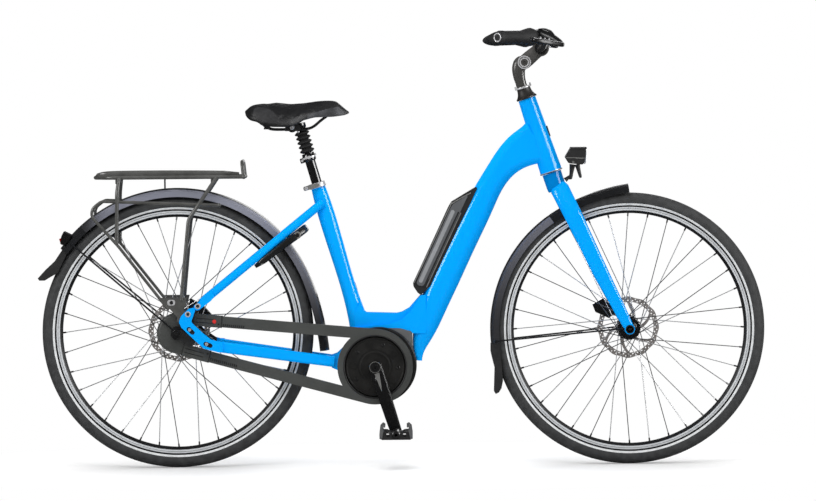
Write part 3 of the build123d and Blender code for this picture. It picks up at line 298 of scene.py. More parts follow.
def grain_group():
    """Shared effect: a colour that wanders a little, a roughness that wanders with it, and a fine height, all
    from noise on the piece's own coordinates."""
    tree = bpy.data.node_groups.new("grain", "ShaderNodeTree")
    for name, kind in (
        ("Color", "NodeSocketColor"),
        ("Second Color", "NodeSocketColor"),
        ("Patch Scale", "NodeSocketFloat"),
        ("Grain Scale", "NodeSocketFloat"),
        ("Roughness", "NodeSocketFloat"),
        ("Spread", "NodeSocketFloat"),
    ):
        tree.interface.new_socket(name, in_out="INPUT", socket_type=kind)
    for name, kind in (
        ("Color", "NodeSocketColor"),
        ("Roughness", "NodeSocketFloat"),
        ("Height", "NodeSocketFloat"),
    ):
        tree.interface.new_socket(name, in_out="OUTPUT", socket_type=kind)
    source, result = tree.nodes.new("NodeGroupInput"), tree.nodes.new("NodeGroupOutput")
    place = tree.nodes.new("ShaderNodeTexCoord")
    patch = socket_node(tree, "ShaderNodeTexNoise", Detail=3.0)
    fine = socket_node(tree, "ShaderNodeTexNoise", Detail=4.0, Roughness=0.6)
    mix = tree.nodes.new("ShaderNodeMix")
    mix.data_type = "RGBA"
    contrast = tree.nodes.new("ShaderNodeMapRange")
    contrast.inputs["From Min"].default_value = 0.35
    contrast.inputs["From Max"].default_value = 0.65
    centred = tree.nodes.new("ShaderNodeMath")
    centred.operation = "SUBTRACT"
    centred.inputs[1].default_value = 0.5
    wander = tree.nodes.new("ShaderNodeMath")
    wander.operation = "MULTIPLY_ADD"
    link = tree.links.new
    link(place.outputs["Object"], patch.inputs["Vector"])
    link(place.outputs["Object"], fine.inputs["Vector"])
    link(source.outputs["Patch Scale"], patch.inputs["Scale"])
    link(source.outputs["Grain Scale"], fine.inputs["Scale"])
    link(patch.outputs["Fac"], contrast.inputs["Value"])
    link(contrast.outputs["Result"], mix.inputs["Factor"])
    link(source.outputs["Color"], mix.inputs["A"])
    link(source.outputs["Second Color"], mix.inputs["B"])
    link(mix.outputs["Result"], result.inputs["Color"])
    link(patch.outputs["Fac"], centred.inputs[0])
    link(centred.outputs[0], wander.inputs[0])
    link(source.outputs["Spread"], wander.inputs[1])
    link(source.outputs["Roughness"], wander.inputs[2])
    link(wander.outputs[0], result.inputs["Roughness"])
    link(fine.outputs["Fac"], result.inputs["Height"])
    return tree


GRAIN = grain_group()


def finish(
    name, shade, second=None, roughness=0.4, spread=0.08, patches=14.0, grain=900.0, bump=0.02, **plain
):
    """Material whose colour wanders between two shades, with a fine bump; plain values go on the shader
    itself."""
    material = bpy.data.materials.new(name)
    material.use_nodes = True
    tree = material.node_tree
    shader = tree.nodes["Principled BSDF"]
    group = tree.nodes.new("ShaderNodeGroup")
    group.node_tree = GRAIN
    second = second if second is not None else [0.93 * value for value in shade]
    group.inputs["Color"].default_value = (*linear(shade), 1.0)
    group.inputs["Second Color"].default_value = (*linear(second), 1.0)
    group.inputs["Patch Scale"].default_value = patches
    group.inputs["Grain Scale"].default_value = grain
    group.inputs["Roughness"].default_value = roughness
    group.inputs["Spread"].default_value = spread
    height = socket_node(tree, "ShaderNodeBump", Strength=bump, Distance=0.001)
    tree.links.new(group.outputs["Color"], shader.inputs["Base Color"])
    tree.links.new(group.outputs["Roughness"], shader.inputs["Roughness"])
    tree.links.new(group.outputs["Height"], height.inputs["Height"])
    tree.links.new(height.outputs["Normal"], shader.inputs["Normal"])
    for key, value in plain.items():
        shader.inputs[key.replace("_", " ")].default_value = value
    return material


BLUE_PAINT = finish(
    "blue_paint", (0, 165, 255), (0, 161, 252), 0.4, 0.05, 6.0, 500.0, 0.01, Specular_IOR_Level=0.0,
    Coat_Weight=0.5, Coat_Roughness=0.1
)
# Darker blue used as painted shade on the fork crown under the head tube.
BLUE_PAINTED_SHADE = finish("blue_painted_shade", (0, 128, 206), (0, 122, 198), 0.4, Specular_IOR_Level=0.0, Coat_Weight=0.4)
TYRE_RUBBER = finish("tyre_rubber", (46, 47, 48), (58, 59, 60), 0.78, 0.1, 60.0, 1400.0, 0.12)
TYRE_STRIPE = finish("tyre_stripe", (225, 227, 228), (205, 207, 208), 0.5, 0.1, 80.0, 1500.0, 0.05)
RIM_SILVER = finish(
    "rim_silver", (225, 228, 231), (210, 213, 216), 0.32, 0.1, 30.0, 1600.0, 0.03, Metallic=0.2
)
RIM_BLACK = finish("rim_black", (22, 22, 23), roughness=0.4, Coat_Weight=0.2)
SPOKE_STEEL = finish("spoke_steel", (96, 97, 98), roughness=0.34, Metallic=0.5)
SPOKE_BRIGHT = finish("spoke_bright", (196, 197, 199), roughness=0.3, Metallic=0.5)
ROTOR_STEEL = finish(
    "rotor_steel", (176, 170, 166), (160, 154, 150), 0.42, 0.15, 50.0, 1800.0, 0.05, Metallic=0.55
)
BRIGHT_STEEL = finish(
    "bright_steel", (206, 206, 207), (184, 184, 186), 0.25, 0.1, 40.0, 1200.0, 0.03, Metallic=0.3
)
BLACK_METAL = finish(
    "black_metal", (22, 22, 23), (28, 28, 29), 0.34, 0.08, 20.0, 1300.0, 0.03, Coat_Weight=0.3
)
GLOSS_BLACK = finish(
    "gloss_black", (14, 14, 15), (18, 18, 19), 0.22, 0.06, 12.0, 700.0, 0.01, Coat_Weight=0.6,
    Coat_Roughness=0.08
)
BLACK_PLASTIC = finish("black_plastic", (28, 28, 29), (34, 34, 35), 0.55, 0.1, 26.0, 1500.0, 0.08)
CASE_PLASTIC = finish("case_plastic", (62, 64, 62), (70, 72, 70), 0.5, 0.08, 10.0, 1300.0, 0.06)
MOTOR_COVER = finish("motor_cover", (24, 24, 23), (34, 33, 31), 0.4, 0.1, 26.0, 700.0, 0.05)
MOTOR_GREY = finish("motor_grey", (98, 100, 102), (86, 88, 90), 0.45, 0.08, 12.0, 1200.0, 0.05)
BATTERY_CASE = finish("battery_case", (98, 100, 103), (86, 88, 91), 0.42, 0.08, 8.0, 1500.0, 0.05)
# Pale grey painted highlight laid along the battery's side.
BATTERY_PAINTED_HIGHLIGHT = finish("battery_painted_highlight", (158, 160, 163), (140, 142, 145), 0.35, 0.08, 8.0, 1500.0, 0.05)
FENDER_BLACK = finish(
    "fender_black", (30, 31, 34), (24, 25, 27), 0.28, 0.05, 5.0, 600.0, 0.01, Coat_Weight=0.5,
    Coat_Roughness=0.1
)


def painted_sheen_finish():
    """Painted reflection for the fenders' glossy flanks: a colour that turns from near black low down and at
    the back to a pale lilac grey over the rear wheel, and to a darker grey over the front one, by place."""
    material = finish("fender_painted_sheen", (60, 60, 65), roughness=0.36, spread=0.05, patches=6.0, grain=800.0)
    tree = material.node_tree
    place, parts = tree.nodes.new("ShaderNodeTexCoord"), tree.nodes.new("ShaderNodeSeparateXYZ")
    low = laid((0.0, 0.0, 350.0))[2]
    rise = socket_node(tree, "ShaderNodeMapRange", **{"From Min": float(low), "From Max": float(low) + 0.36})
    rise.interpolation_type = "SMOOTHSTEP"
    mix = tree.nodes.new("ShaderNodeMix")
    mix.data_type = "RGBA"
    mix.inputs["A"].default_value = (*linear((46, 46, 49)), 1.0)
    mix.inputs["B"].default_value = (*linear((134, 136, 149)), 1.0)
    tree.links.new(place.outputs["Object"], parts.inputs[0])
    tree.links.new(parts.outputs["Z"], rise.inputs["Value"])
    back, ahead = (float(laid((x, 0.0, 0.0))[0]) for x in (-240.0, 700.0))
    ramps = [rise.outputs["Result"]]
    for start, length, low_value, high_value in ((back, 0.07, 0.0, 1.0), (ahead, 0.1, 1.0, 0.55)):
        ramp = socket_node(tree, "ShaderNodeMapRange", **{"From Min": start, "From Max": start + length})
        ramp.interpolation_type = "SMOOTHSTEP"
        ramp.inputs["To Min"].default_value, ramp.inputs["To Max"].default_value = low_value, high_value
        both = tree.nodes.new("ShaderNodeMath")
        both.operation = "MULTIPLY"
        tree.links.new(parts.outputs["X"], ramp.inputs["Value"])
        tree.links.new(ramps[-1], both.inputs[0])
        tree.links.new(ramp.outputs["Result"], both.inputs[1])
        ramps.append(both.outputs[0])
    tree.links.new(ramps[-1], mix.inputs["Factor"])
    tree.links.new(mix.outputs["Result"], tree.nodes["Principled BSDF"].inputs["Base Color"])
    return material


# Painted reflection on the fenders' glossy flanks, lighter where the lamps would catch them.
FENDER_PAINTED_SHEEN = painted_sheen_finish()
BLACK_RUBBER = finish("black_rubber", (24, 24, 25), (32, 32, 33), 0.72, 0.1, 40.0, 1600.0, 0.12)
RACK_COAT = finish("rack_coat", (72, 72, 70), (86, 86, 84), 0.3, 0.1, 24.0, 1400.0, 0.06, Metallic=0.1)
SADDLE_SKIN = finish("saddle_skin", (20, 20, 22), (27, 27, 29), 0.5, 0.1, 22.0, 2600.0, 0.25)
SADDLE_SIDE = finish("saddle_side", (34, 34, 36), (42, 42, 44), 0.6, 0.1, 60.0, 2600.0, 0.4)
SADDLE_PANEL = finish("saddle_panel", (50, 51, 54), (64, 65, 69), 0.5, 0.1, 40.0, 2600.0, 0.25)
STEM_GREY = finish("stem_grey", (70, 69, 67), (82, 81, 79), 0.28, 0.08, 12.0, 1000.0, 0.03, Metallic=0.2)
HEADSET_RUBBER = finish("headset_rubber", (30, 27, 25), (36, 33, 31), 0.5, 0.1, 20.0, 1400.0, 0.06)
LEVER_BLACK = finish("lever_black", (16, 16, 17), (24, 24, 25), 0.32, 0.08, 20.0, 1200.0, 0.04)
LEVER_GREY = finish(
    "lever_grey", (112, 112, 110), (128, 128, 126), 0.3, 0.08, 20.0, 1200.0, 0.04, Metallic=0.2
)
LAMP_GLASS = finish(
    "lamp_glass", (215, 218, 222), (190, 194, 200), 0.12, 0.05, 30.0, 500.0, 0.02, Coat_Weight=0.8
)
LAMP_RED = finish("lamp_red", (150, 12, 14), (120, 8, 10), 0.15, 0.05, 30.0, 500.0, 0.02, Coat_Weight=0.8)
PEDAL_GREY = finish("pedal_grey", (108, 109, 110), (92, 93, 94), 0.45, 0.08, 30.0, 1200.0, 0.06, Metallic=0.4)
RED_DOT = finish("red_dot", (225, 40, 36), roughness=0.35)
SCREEN = finish("screen", (16, 20, 24), roughness=0.08, Coat_Weight=0.8)

# Finishes of the CAD nodes, which show wherever no piece stands in for them.
for material, names in (
    (BLUE_PAINT, "down_tube head_tube seat_tube motor_bracket chainstays seat_stays fork"),
    (
        BLACK_METAL,
        "dropout_links axle_carriers stem handlebar front_hub rear_hub front_axle rear_axle brake_levers "
        "saddle_rails"
    ),
    (GLOSS_BLACK, "cranks rear_caliper front_caliper"),
    (BRIGHT_STEEL, "seat_clamp"),
    (ROTOR_STEEL, "front_rotor rear_rotor"),
    (RIM_SILVER, "front_rim rear_rim"),
    (SPOKE_STEEL, "front_spokes rear_spokes"),
    (TYRE_RUBBER, "front_tyre rear_tyre"),
    (MOTOR_COVER, "motor chainring"),
    (CASE_PLASTIC, "chain_case"),
    (BATTERY_CASE, "battery"),
    (FENDER_BLACK, "rear_fender front_fender"),
    (BLACK_RUBBER, "rear_mudflap front_mudflap bellows grips"),
    (GLOSS_BLACK, "headlamp rear_lamp"),
    (RACK_COAT, "rear_rack"),
    (BLACK_PLASTIC, "ring_lock headset_cone display pedal_right pedal_left seatpost"),
    (SADDLE_SKIN, "saddle"),
):
    for node_name in names.split():
        mesh = NODES[node_name].data
        mesh.materials.clear()
        mesh.materials.append(material)


# ---- wheels ------------------------------------------------------------------------------------------------
RIM_EDGE = TYRE_RADIUS - 33.0
TYRE_HALF = 20.0
TREAD_PITCHES = 90
SPOKE_COUNT = 36
TYRE_HEEL = 129.4
STRIPE_START = 113.6
RIM_DEPTH = 20.0
ROTOR_RADIUS = 80.0
ROTOR_THICKNESS = 1.8
FACING_RIGHT = (0.0, -1.0, 0.0)


def tyre(name, body, hub):
    """Casing of round section: at turn t and section angle a the radius is c + (h - relief) cos a and the
    sideways place (h - relief) sin a, where relief cuts two running grooves and slanted sipes into the tread.
    """
    reach = math.radians(TYRE_HEEL)
    a = np.linspace(-reach, reach, 61)
    turn = np.linspace(0, 2 * np.pi, 540, endpoint=False)
    share = (turn[:, None] * TREAD_PITCHES / (2 * np.pi) + 0.9 * np.abs(a)) % 1.0
    degrees = np.degrees(np.abs(a))
    cut = (np.abs(degrees - 15) < 2.4) | ((share < 0.3) & (degrees > 19) & (degrees < 50))
    height = TYRE_HALF - 1.3 * cut
    radius = TYRE_RADIUS - TYRE_HALF + height * np.cos(a)
    side = height * np.sin(a)
    bead = np.array(
        [(RIM_EDGE + 0.3, 10.6), (RIM_EDGE - 5.8, 10.6), (RIM_EDGE - 5.8, -10.6), (RIM_EDGE + 0.3, -10.6)]
    )
    radius = np.hstack([radius, np.tile(bead[:, 0], (len(turn), 1))])
    side = np.hstack([side, np.tile(bead[:, 1], (len(turn), 1))])
    rows = np.stack([radius * np.cos(turn)[:, None], side, radius * np.sin(turn)[:, None]], axis=-1) + hub
    middles = np.degrees(np.abs(0.5 * (a[1:] + a[:-1])))
    slots = np.concatenate([middles > STRIPE_START, np.zeros(5)]).astype(int)
    shell = grid(rows, wrap_u=True, wrap_v=True, slot=slots)
    piece(name, body, [shell], [TYRE_RUBBER, TYRE_STRIPE], (name,), sharp=30)


def rim(name, body, hub):
    """Box rim: black inner edge, bright band parted by a fine dark line, and a black outer wall with a hooked
    edge."""
    low, high = RIM_EDGE - RIM_DEPTH, RIM_EDGE
    half = [
        (low, 4.6, 0), (low + 1.4, 6.6, 0), (low + 7.3, 11.7, 1), (low + 11.7, 12.4, 0),
        (low + 12.5, 12.5, 1), (low + 16.2, 12.5, 0), (high - 0.6, 12.3, 0), (high, 11.7, 0),
        (high - 0.6, 11.0, 0), (high - 5.9, 10.9, 0)
    ]
    half = np.array(half)
    profile = np.vstack([half[:, :2] * (1, -1), half[::-1, :2]])
    slots = np.concatenate([half[:-1, 2], [0], half[::-1, 2][1:], [0]]).astype(int)
    piece(
        name, body, [turned(profile, hub, steps=240, slot=slots)], [RIM_BLACK, RIM_SILVER], (name,), sharp=25
    )


def spokes(prefix, body, hub, flange_radius, flange_offset):
    """Crossed spokes with an elbow at the flange and a nipple at the rim, bright and dark by turns."""
    hole, beside = flange_radius - 2.0, 3.35
    shells, nipples = [], []
    for index in range(SPOKE_COUNT):
        turn = 2 * math.pi / SPOKE_COUNT * index
        flank = -1 if index % 2 else 1
        lean = 1 if index % 4 < 2 else -1
        foot_turn = turn + math.radians(lean * 60.0)
        place = flank * (flange_offset + lean * beside)
        foot = hub + (hole * math.cos(foot_turn), place, hole * math.sin(foot_turn))
        head = foot + (0, -flank * lean * 2 * beside, 0)
        low, high = RIM_EDGE - 28.0, RIM_EDGE - 18.5
        tip = hub + (high * math.cos(turn), flank * 2.5, high * math.sin(turn))
        shells.append(tube([foot, foot + (tip - foot) * 0.5, tip], 1.15, sides=8, slot=int(flank > 0)))
        shells.append(tube(
            [head, (head + foot) * 0.5, foot + (0, flank * lean * 0.8, 0)], 1.15, (1, 0, 0), 8
        ))
        start = tip + (foot - tip) * (high - low) / np.linalg.norm(tip - foot)
        nipples.append(tube([start, (start + tip) * 0.5, tip], 2.1, sides=8, slot=2))
    piece(
        prefix + "_spokes", body, shells + nipples, [SPOKE_STEEL, SPOKE_BRIGHT, BLACK_METAL],
        (prefix + "_spokes",)
    )


def rotor(name, body, hub, offset):
    """Waved brake rotor: six swept arms between a thin hub ring and a drilled band, cut from one sheet."""
    turn = np.linspace(0, 2 * np.pi, 180, endpoint=False)
    wave = ROTOR_RADIUS - 1.2 + 1.2 * np.cos(12 * turn)
    outline = np.stack([wave * np.cos(turn), wave * np.sin(turn)], axis=-1)
    holes = [circle(21.0, 40)]
    for arm in range(6):
        radius = np.linspace(30.0, 66.0, 7)
        sweep = math.radians(60 * arm) + math.radians(30) * (radius - 30) / 36
        near, far = sweep + 4.6 / radius, sweep + math.radians(60) - 4.6 / radius
        rim_turn, hub_turn = np.linspace(near[-1], far[-1], 7)[1:-1], np.linspace(far[0], near[0], 4)[1:-1]
        angle = np.concatenate([near, rim_turn, far[::-1], hub_turn])
        reach = np.concatenate([radius, np.full(5, 66.0), radius[::-1], np.full(2, 30.0)])
        holes.append(np.stack([reach * np.cos(angle), reach * np.sin(angle)], axis=-1))
    for count, radius, size, shift in ((36, 69.6, 1.8, 0.0), (36, 74.6, 1.5, 5.0)):
        for index in range(count):
            angle = math.radians(360 / count * index + shift)
            holes.append(circle(size, 8) + (radius * math.cos(angle), radius * math.sin(angle)))
    sheet = plate(outline, -offset - ROTOR_THICKNESS, -offset, holes, hub)
    piece(name, body, [sheet], ROTOR_STEEL, (name,), sharp=30)


def carrier(name, body, hub, offset, radius):
    """Splined black carrier and lock ring that hold the rotor on its hub, with six bolts in front of it."""
    turn = np.linspace(0, 2 * np.pi, 120, endpoint=False)
    tooth = radius - 1.2 + 1.2 * np.sign(np.sin(20 * turn))
    outline = np.stack([tooth * np.cos(turn), tooth * np.sin(turn)], axis=-1)
    shells = [plate(outline, -offset, 4.0 - offset, [circle(18.0, 40)], hub)]
    ring = [(18.0, 0.0), (25.0, 0.0), (25.0, 2.4), (23.5, 3.4), (18.0, 3.4)]
    shells.append(turned(ring, hub + (0, offset + ROTOR_THICKNESS, 0), steps=48))
    for index in range(6):
        angle = math.radians(60 * index + 15)
        bolt = hub + ((radius - 6) * math.cos(angle), offset - 4.0, (radius - 6) * math.sin(angle))
        shells.append(turned(disc_profile(3.4, 0, 1.8, 0.6), bolt, FACING_RIGHT, 16, 1, False))
    piece(name, body, shells, [BLACK_METAL, BRIGHT_STEEL], sharp=35)


def hub_body(name, body, hub, half):
    """Hub shell turned from half sections given as (radius, sideways) from right to left."""
    piece(name, body, [turned(half, hub, steps=96)], GLOSS_BLACK, (name,), sharp=30, bevel=0.6)


for prefix, hub in (("front", FRONT_HUB), ("rear", REAR_HUB)):
    tyre(prefix + "_tyre", prefix + "_wheel", hub)
    rim(prefix + "_rim", prefix + "_wheel", hub)
spokes("front", "front_wheel", FRONT_HUB, 29.0, 27.0)
spokes("rear", "rear_wheel", REAR_HUB, 47.0, 32.0)
rotor("front_rotor", "front_wheel", FRONT_HUB, 38.0)
rotor("rear_rotor", "rear_wheel", REAR_HUB, 51.5)
carrier("front_rotor_carrier", "front_wheel", FRONT_HUB, 38.0, 33.0)
carrier("rear_rotor_carrier", "rear_wheel", REAR_HUB, 51.5, 34.0)
front_half = [
    (5.4, -38), (15, -38), (17, -36), (18.5, -30), (20, -28.5), (29, -28.5), (29, -25.5), (20, -25.5),
    (16.5, -21), (14.6, -8), (14.6, 8), (16.5, 21), (20, 25.5), (29, 25.5), (29, 28.5), (20, 28.5), (18, 31),
    (17.8, 38), (5.4, 38)
]
hub_body("front_hub", "front_wheel", FRONT_HUB, front_half)
rear_half = [
    (5.4, -42), (22, -42), (30, -41), (35, -38), (37, -33.5), (47, -33.5), (47, -30.5), (41, -30.5),
    (38, -26), (37, -12), (37, 12), (38, 26), (41, 30.5), (47, 30.5), (47, 33.5), (37, 33.5), (35, 38),
    (30, 41), (22, 43), (18, 46), (18, 51.5), (5.4, 51.5)
]
hub_body("rear_hub", "rear_wheel", REAR_HUB, rear_half)


# ---- drive -------------------------------------------------------------------------------------------------
CASE_FRONT = 97.0
CASE_WINDOW = 78.5
CASE_REAR = 52.0
CASE_RUN = 28.0
CASE_INNER = 44.0
CASE_OUTER = 60.0
CASE_RISE = math.asin((CASE_FRONT - CASE_REAR) / np.linalg.norm(BRACKET - REAR_HUB))
CASE_SLOPE = math.atan2(BRACKET[2] - REAR_HUB[2], BRACKET[0] - REAR_HUB[0])


def arc(centre, radius, start, stop, steps=32):
    """Points of an arc in the side view, by its angles in radians."""
    turn = np.linspace(start, stop, steps)
    return np.stack([centre[0] + radius * np.cos(turn), centre[2] + radius * np.sin(turn)], axis=-1)


def run_frame(turn):
    """Forward and outward directions of the upper (1) or lower (-1) run in the side view."""
    line = CASE_SLOPE + turn * CASE_RISE
    return np.array([math.cos(line), math.sin(line)]), turn * np.array([-math.sin(line), math.cos(line)])


def angle_of(vector):
    """Angle of a side-view vector from straight ahead, in radians."""
    return math.atan2(vector[1], vector[0])


def bolt(place, radius, height, facing=FACING_RIGHT, slot=0, steps=20):
    """Round screw head with a rounded edge and a hexagon recess, on a surface."""
    dish = [(radius * 0.55, height), (radius * 0.5, height - 0.45 * height), (0, height - 0.45 * height)]
    edge = [(0, 0), (radius, 0), (radius, height * 0.55), (radius * 0.8, height)]
    return turned(edge + dish, place, facing, steps, slot, False)


def chain_case():
    """Moulded case: two runs that join a ring round the bracket and a closed round end over the hub."""
    start, stop = angle_of(run_frame(-1)[1]), angle_of(run_frame(1)[1])
    front = arc(BRACKET, CASE_FRONT, start, stop, 64)
    rear = arc(REAR_HUB, CASE_REAR, stop, start + 2 * math.pi, 48)
    outline = np.vstack([front, rear])
    gap, run = CASE_FRONT - CASE_RUN, CASE_REAR - CASE_RUN
    front_swing, rear_swing = math.acos(gap / CASE_FRONT), math.acos(run / CASE_REAR)
    hole = np.vstack(
        [
            arc(BRACKET, CASE_FRONT, stop + front_swing, start + 2 * math.pi - front_swing, 32),
            arc(REAR_HUB, CASE_REAR, start + rear_swing, stop - rear_swing, 24),
        ]
    )
    window = circle(CASE_WINDOW, 96) + (BRACKET[0], BRACKET[2])
    shells = [plate(outline, CASE_INNER, CASE_OUTER, [window, hole])]
    lip = [
        (CASE_WINDOW, CASE_OUTER - 1), (CASE_WINDOW + 3.5, CASE_OUTER - 1),
        (CASE_WINDOW + 3.5, CASE_OUTER + 0.8), (CASE_WINDOW + 1.0, CASE_OUTER + 1.2),
        (CASE_WINDOW, CASE_OUTER + 0.6)
    ]
    shells.append(turned(lip, (BRACKET[0], 0, BRACKET[2]), FACING_RIGHT, 96, 1))
    piece("chain_case_shell", "frame", shells, [CASE_PLASTIC, BLACK_PLASTIC], ("chain_case",), bevel=4.0)


def sleeve(turn, start, stop, ribs):
    """Sleeve over the rear part of a run, with two strips, a screw, end lips and latch ribs ahead."""
    ahead, out = run_frame(turn)
    base = np.array([REAR_HUB[0], REAR_HUB[2]]) + out * (CASE_REAR - CASE_RUN / 2)
    half, proud = CASE_RUN / 2 + 1.4, CASE_OUTER + 1.6
    corners = [
        base + ahead * start - out * half, base + ahead * stop - out * half, base + ahead * stop + out * half,
        base + ahead * start + out * half
    ]
    shells = [plate(rounded(corners, 3.0), CASE_INNER - 1.4, proud)]
    for height in (-5.5, 4.5):
        first, last = base + out * height + ahead * (start + 6), base + out * height + ahead * (stop - 16)
        groove = [first - out * 1.1, last - out * 1.1, last + out * 1.1, first + out * 1.1]
        shells.append(plate(groove, proud - 1, proud + 0.25, slot=1))
    for low, high in ((start, start + 1.6), (stop - 1.4, stop + 1.0)):
        lip = [
            base + ahead * low - out * (half + 0.6), base + ahead * high - out * (half + 0.6),
            base + ahead * high + out * (half + 0.6), base + ahead * low + out * (half + 0.6)
        ]
        shells.append(plate(lip, CASE_INNER - 1.6, proud + 0.5, slot=1))
    at = base + ahead * (stop - 7) - out * 6.5
    shells.append(bolt((at[0], -proud, at[1]), 2.4, 0.9, slot=1, steps=16))
    for index in range(ribs):
        at = base + ahead * (stop + 5 + 5.2 * index) - out * (8.2 if turn > 0 else -5.0)
        rib = [at - out * 3.2 - ahead * 2.0, at - out * 3.2 + ahead * 1.2, at + out * 3.2 + ahead * 2.2]
        rib.append(at + out * 3.2 - ahead * 1.0)
        shells.append(plate(rib, CASE_OUTER - 1, CASE_OUTER + 0.5, slot=1))
    name = "chain_case_sleeve_" + ("top" if turn > 0 else "low")
    piece(name, "frame", shells, [CASE_PLASTIC, BLACK_PLASTIC], bevel=0.8)


def rear_cover():
    """Dished round cover over the hub end of the case, with a raised middle, and the red marker on the upper
    sleeve."""
    centre = np.array([REAR_HUB[0], -CASE_OUTER, REAR_HUB[2]])
    cover = [(0, 0.6), (11.0, 0.6), (11.5, 1.6), (44.0, 1.2), (47.0, 0.6), (48.0, -0.4), (0, -0.4)]
    shells = [turned(cover, centre, FACING_RIGHT, 72, 0, False)]
    ahead, out = run_frame(1)
    at = np.array([REAR_HUB[0], REAR_HUB[2]]) + out * (CASE_REAR - CASE_RUN / 2 - 0.5) + ahead * 93.0
    shells.append(turned(
        disc_profile(5.2, -0.5, 1.0, 0.5), (at[0], -CASE_OUTER - 1.6, at[1]), FACING_RIGHT, 24, 1, False
    ))
    piece("chain_case_cover", "frame", shells, [CASE_PLASTIC, RED_DOT])


def motor():
    """Motor housing: the round drum, a grey left cover with six screws, and a grey shoulder up to the frame's
    foot."""
    centre = np.array([BRACKET[0] + 9.0, 0.0, BRACKET[2] + 3.0])
    drum = [(13.0, -52), (88, -52), (94, -50), (98, -44), (98, 40), (94.5, 43.7), (80, 44), (13.0, 44)]
    shells = [turned(drum, centre, FACING_RIGHT, 128, 0)]
    shoulder = [(-60, 40), (-58, 99), (65, 97), (92.5, 89.5), (96.5, 84), (97.3, 49), (107, 15), (60, -40)]
    shoulder = np.array(shoulder) + (BRACKET[0], BRACKET[2])
    shells.append(plate(rounded(shoulder, [1, 6, 12, 10, 10, 12, 14, 1]), -36.0, 36.0, slot=1))
    left = np.array([BRACKET[0], 52.0, BRACKET[2]])
    cover = [(13.0, -1), (80, -1), (80, 2.0), (76, 3.2), (30, 3.6), (27, 6.0), (16, 6.4), (13.0, 5.0)]
    shells.append(turned(cover, left, (0, 1, 0), 96, 1))
    for index in range(6):
        angle = math.radians(60 * index + 12)
        place = left + (70 * math.cos(angle), 3.0, 70 * math.sin(angle))
        shells.append(bolt(place, 4.2, 1.6, (0, 1, 0), 2))
    finishes = [MOTOR_COVER, MOTOR_GREY, BRIGHT_STEEL]
    piece("motor_housing", "frame", shells, finishes, ("motor",), bevel=1.2)


def drive_cover():
    """Round cover inside the case's window: a raised rim, two faint rings, five ribs and five screws."""
    centre = np.array([BRACKET[0], -50.0, BRACKET[2]])
    profile = [
        (12.2, 0), (76, 0), (76, 6.0), (74.6, 7.4), (72.4, 7.4), (71.2, 6.2), (47, 6.4), (45.6, 7.0),
        (43.8, 7.0), (42.4, 6.4), (39, 6.6), (37.6, 7.4), (35.8, 7.4), (34.4, 6.6), (24, 7.0), (12.2, 7.4)
    ]
    shells = [turned(profile, centre, FACING_RIGHT, 120, 0)]
    for index in range(5):
        angle = math.radians(72 * index + 33)
        out = np.array([math.cos(angle), math.sin(angle)])
        over = np.array([-out[1], out[0]])
        middle = np.array([BRACKET[0], BRACKET[2]])
        rib = [
            middle + out * 46 - over * 9, middle + out * 67 - over * 4.5, middle + out * 67 + over * 4.5,
            middle + out * 46 + over * 9
        ]
        shells.append(plate(rounded(rib, 3.0), 55.5, 57.6, slot=0))
        place = middle + 59.0 * np.array([math.cos(angle + 0.63), math.sin(angle + 0.63)])
        shells.append(bolt((place[0], -56.2, place[1]), 4.6, 1.7, slot=1))
    piece("drive_cover", "crankset", shells, [MOTOR_COVER, BLACK_METAL], ("chainring",), bevel=0.5)


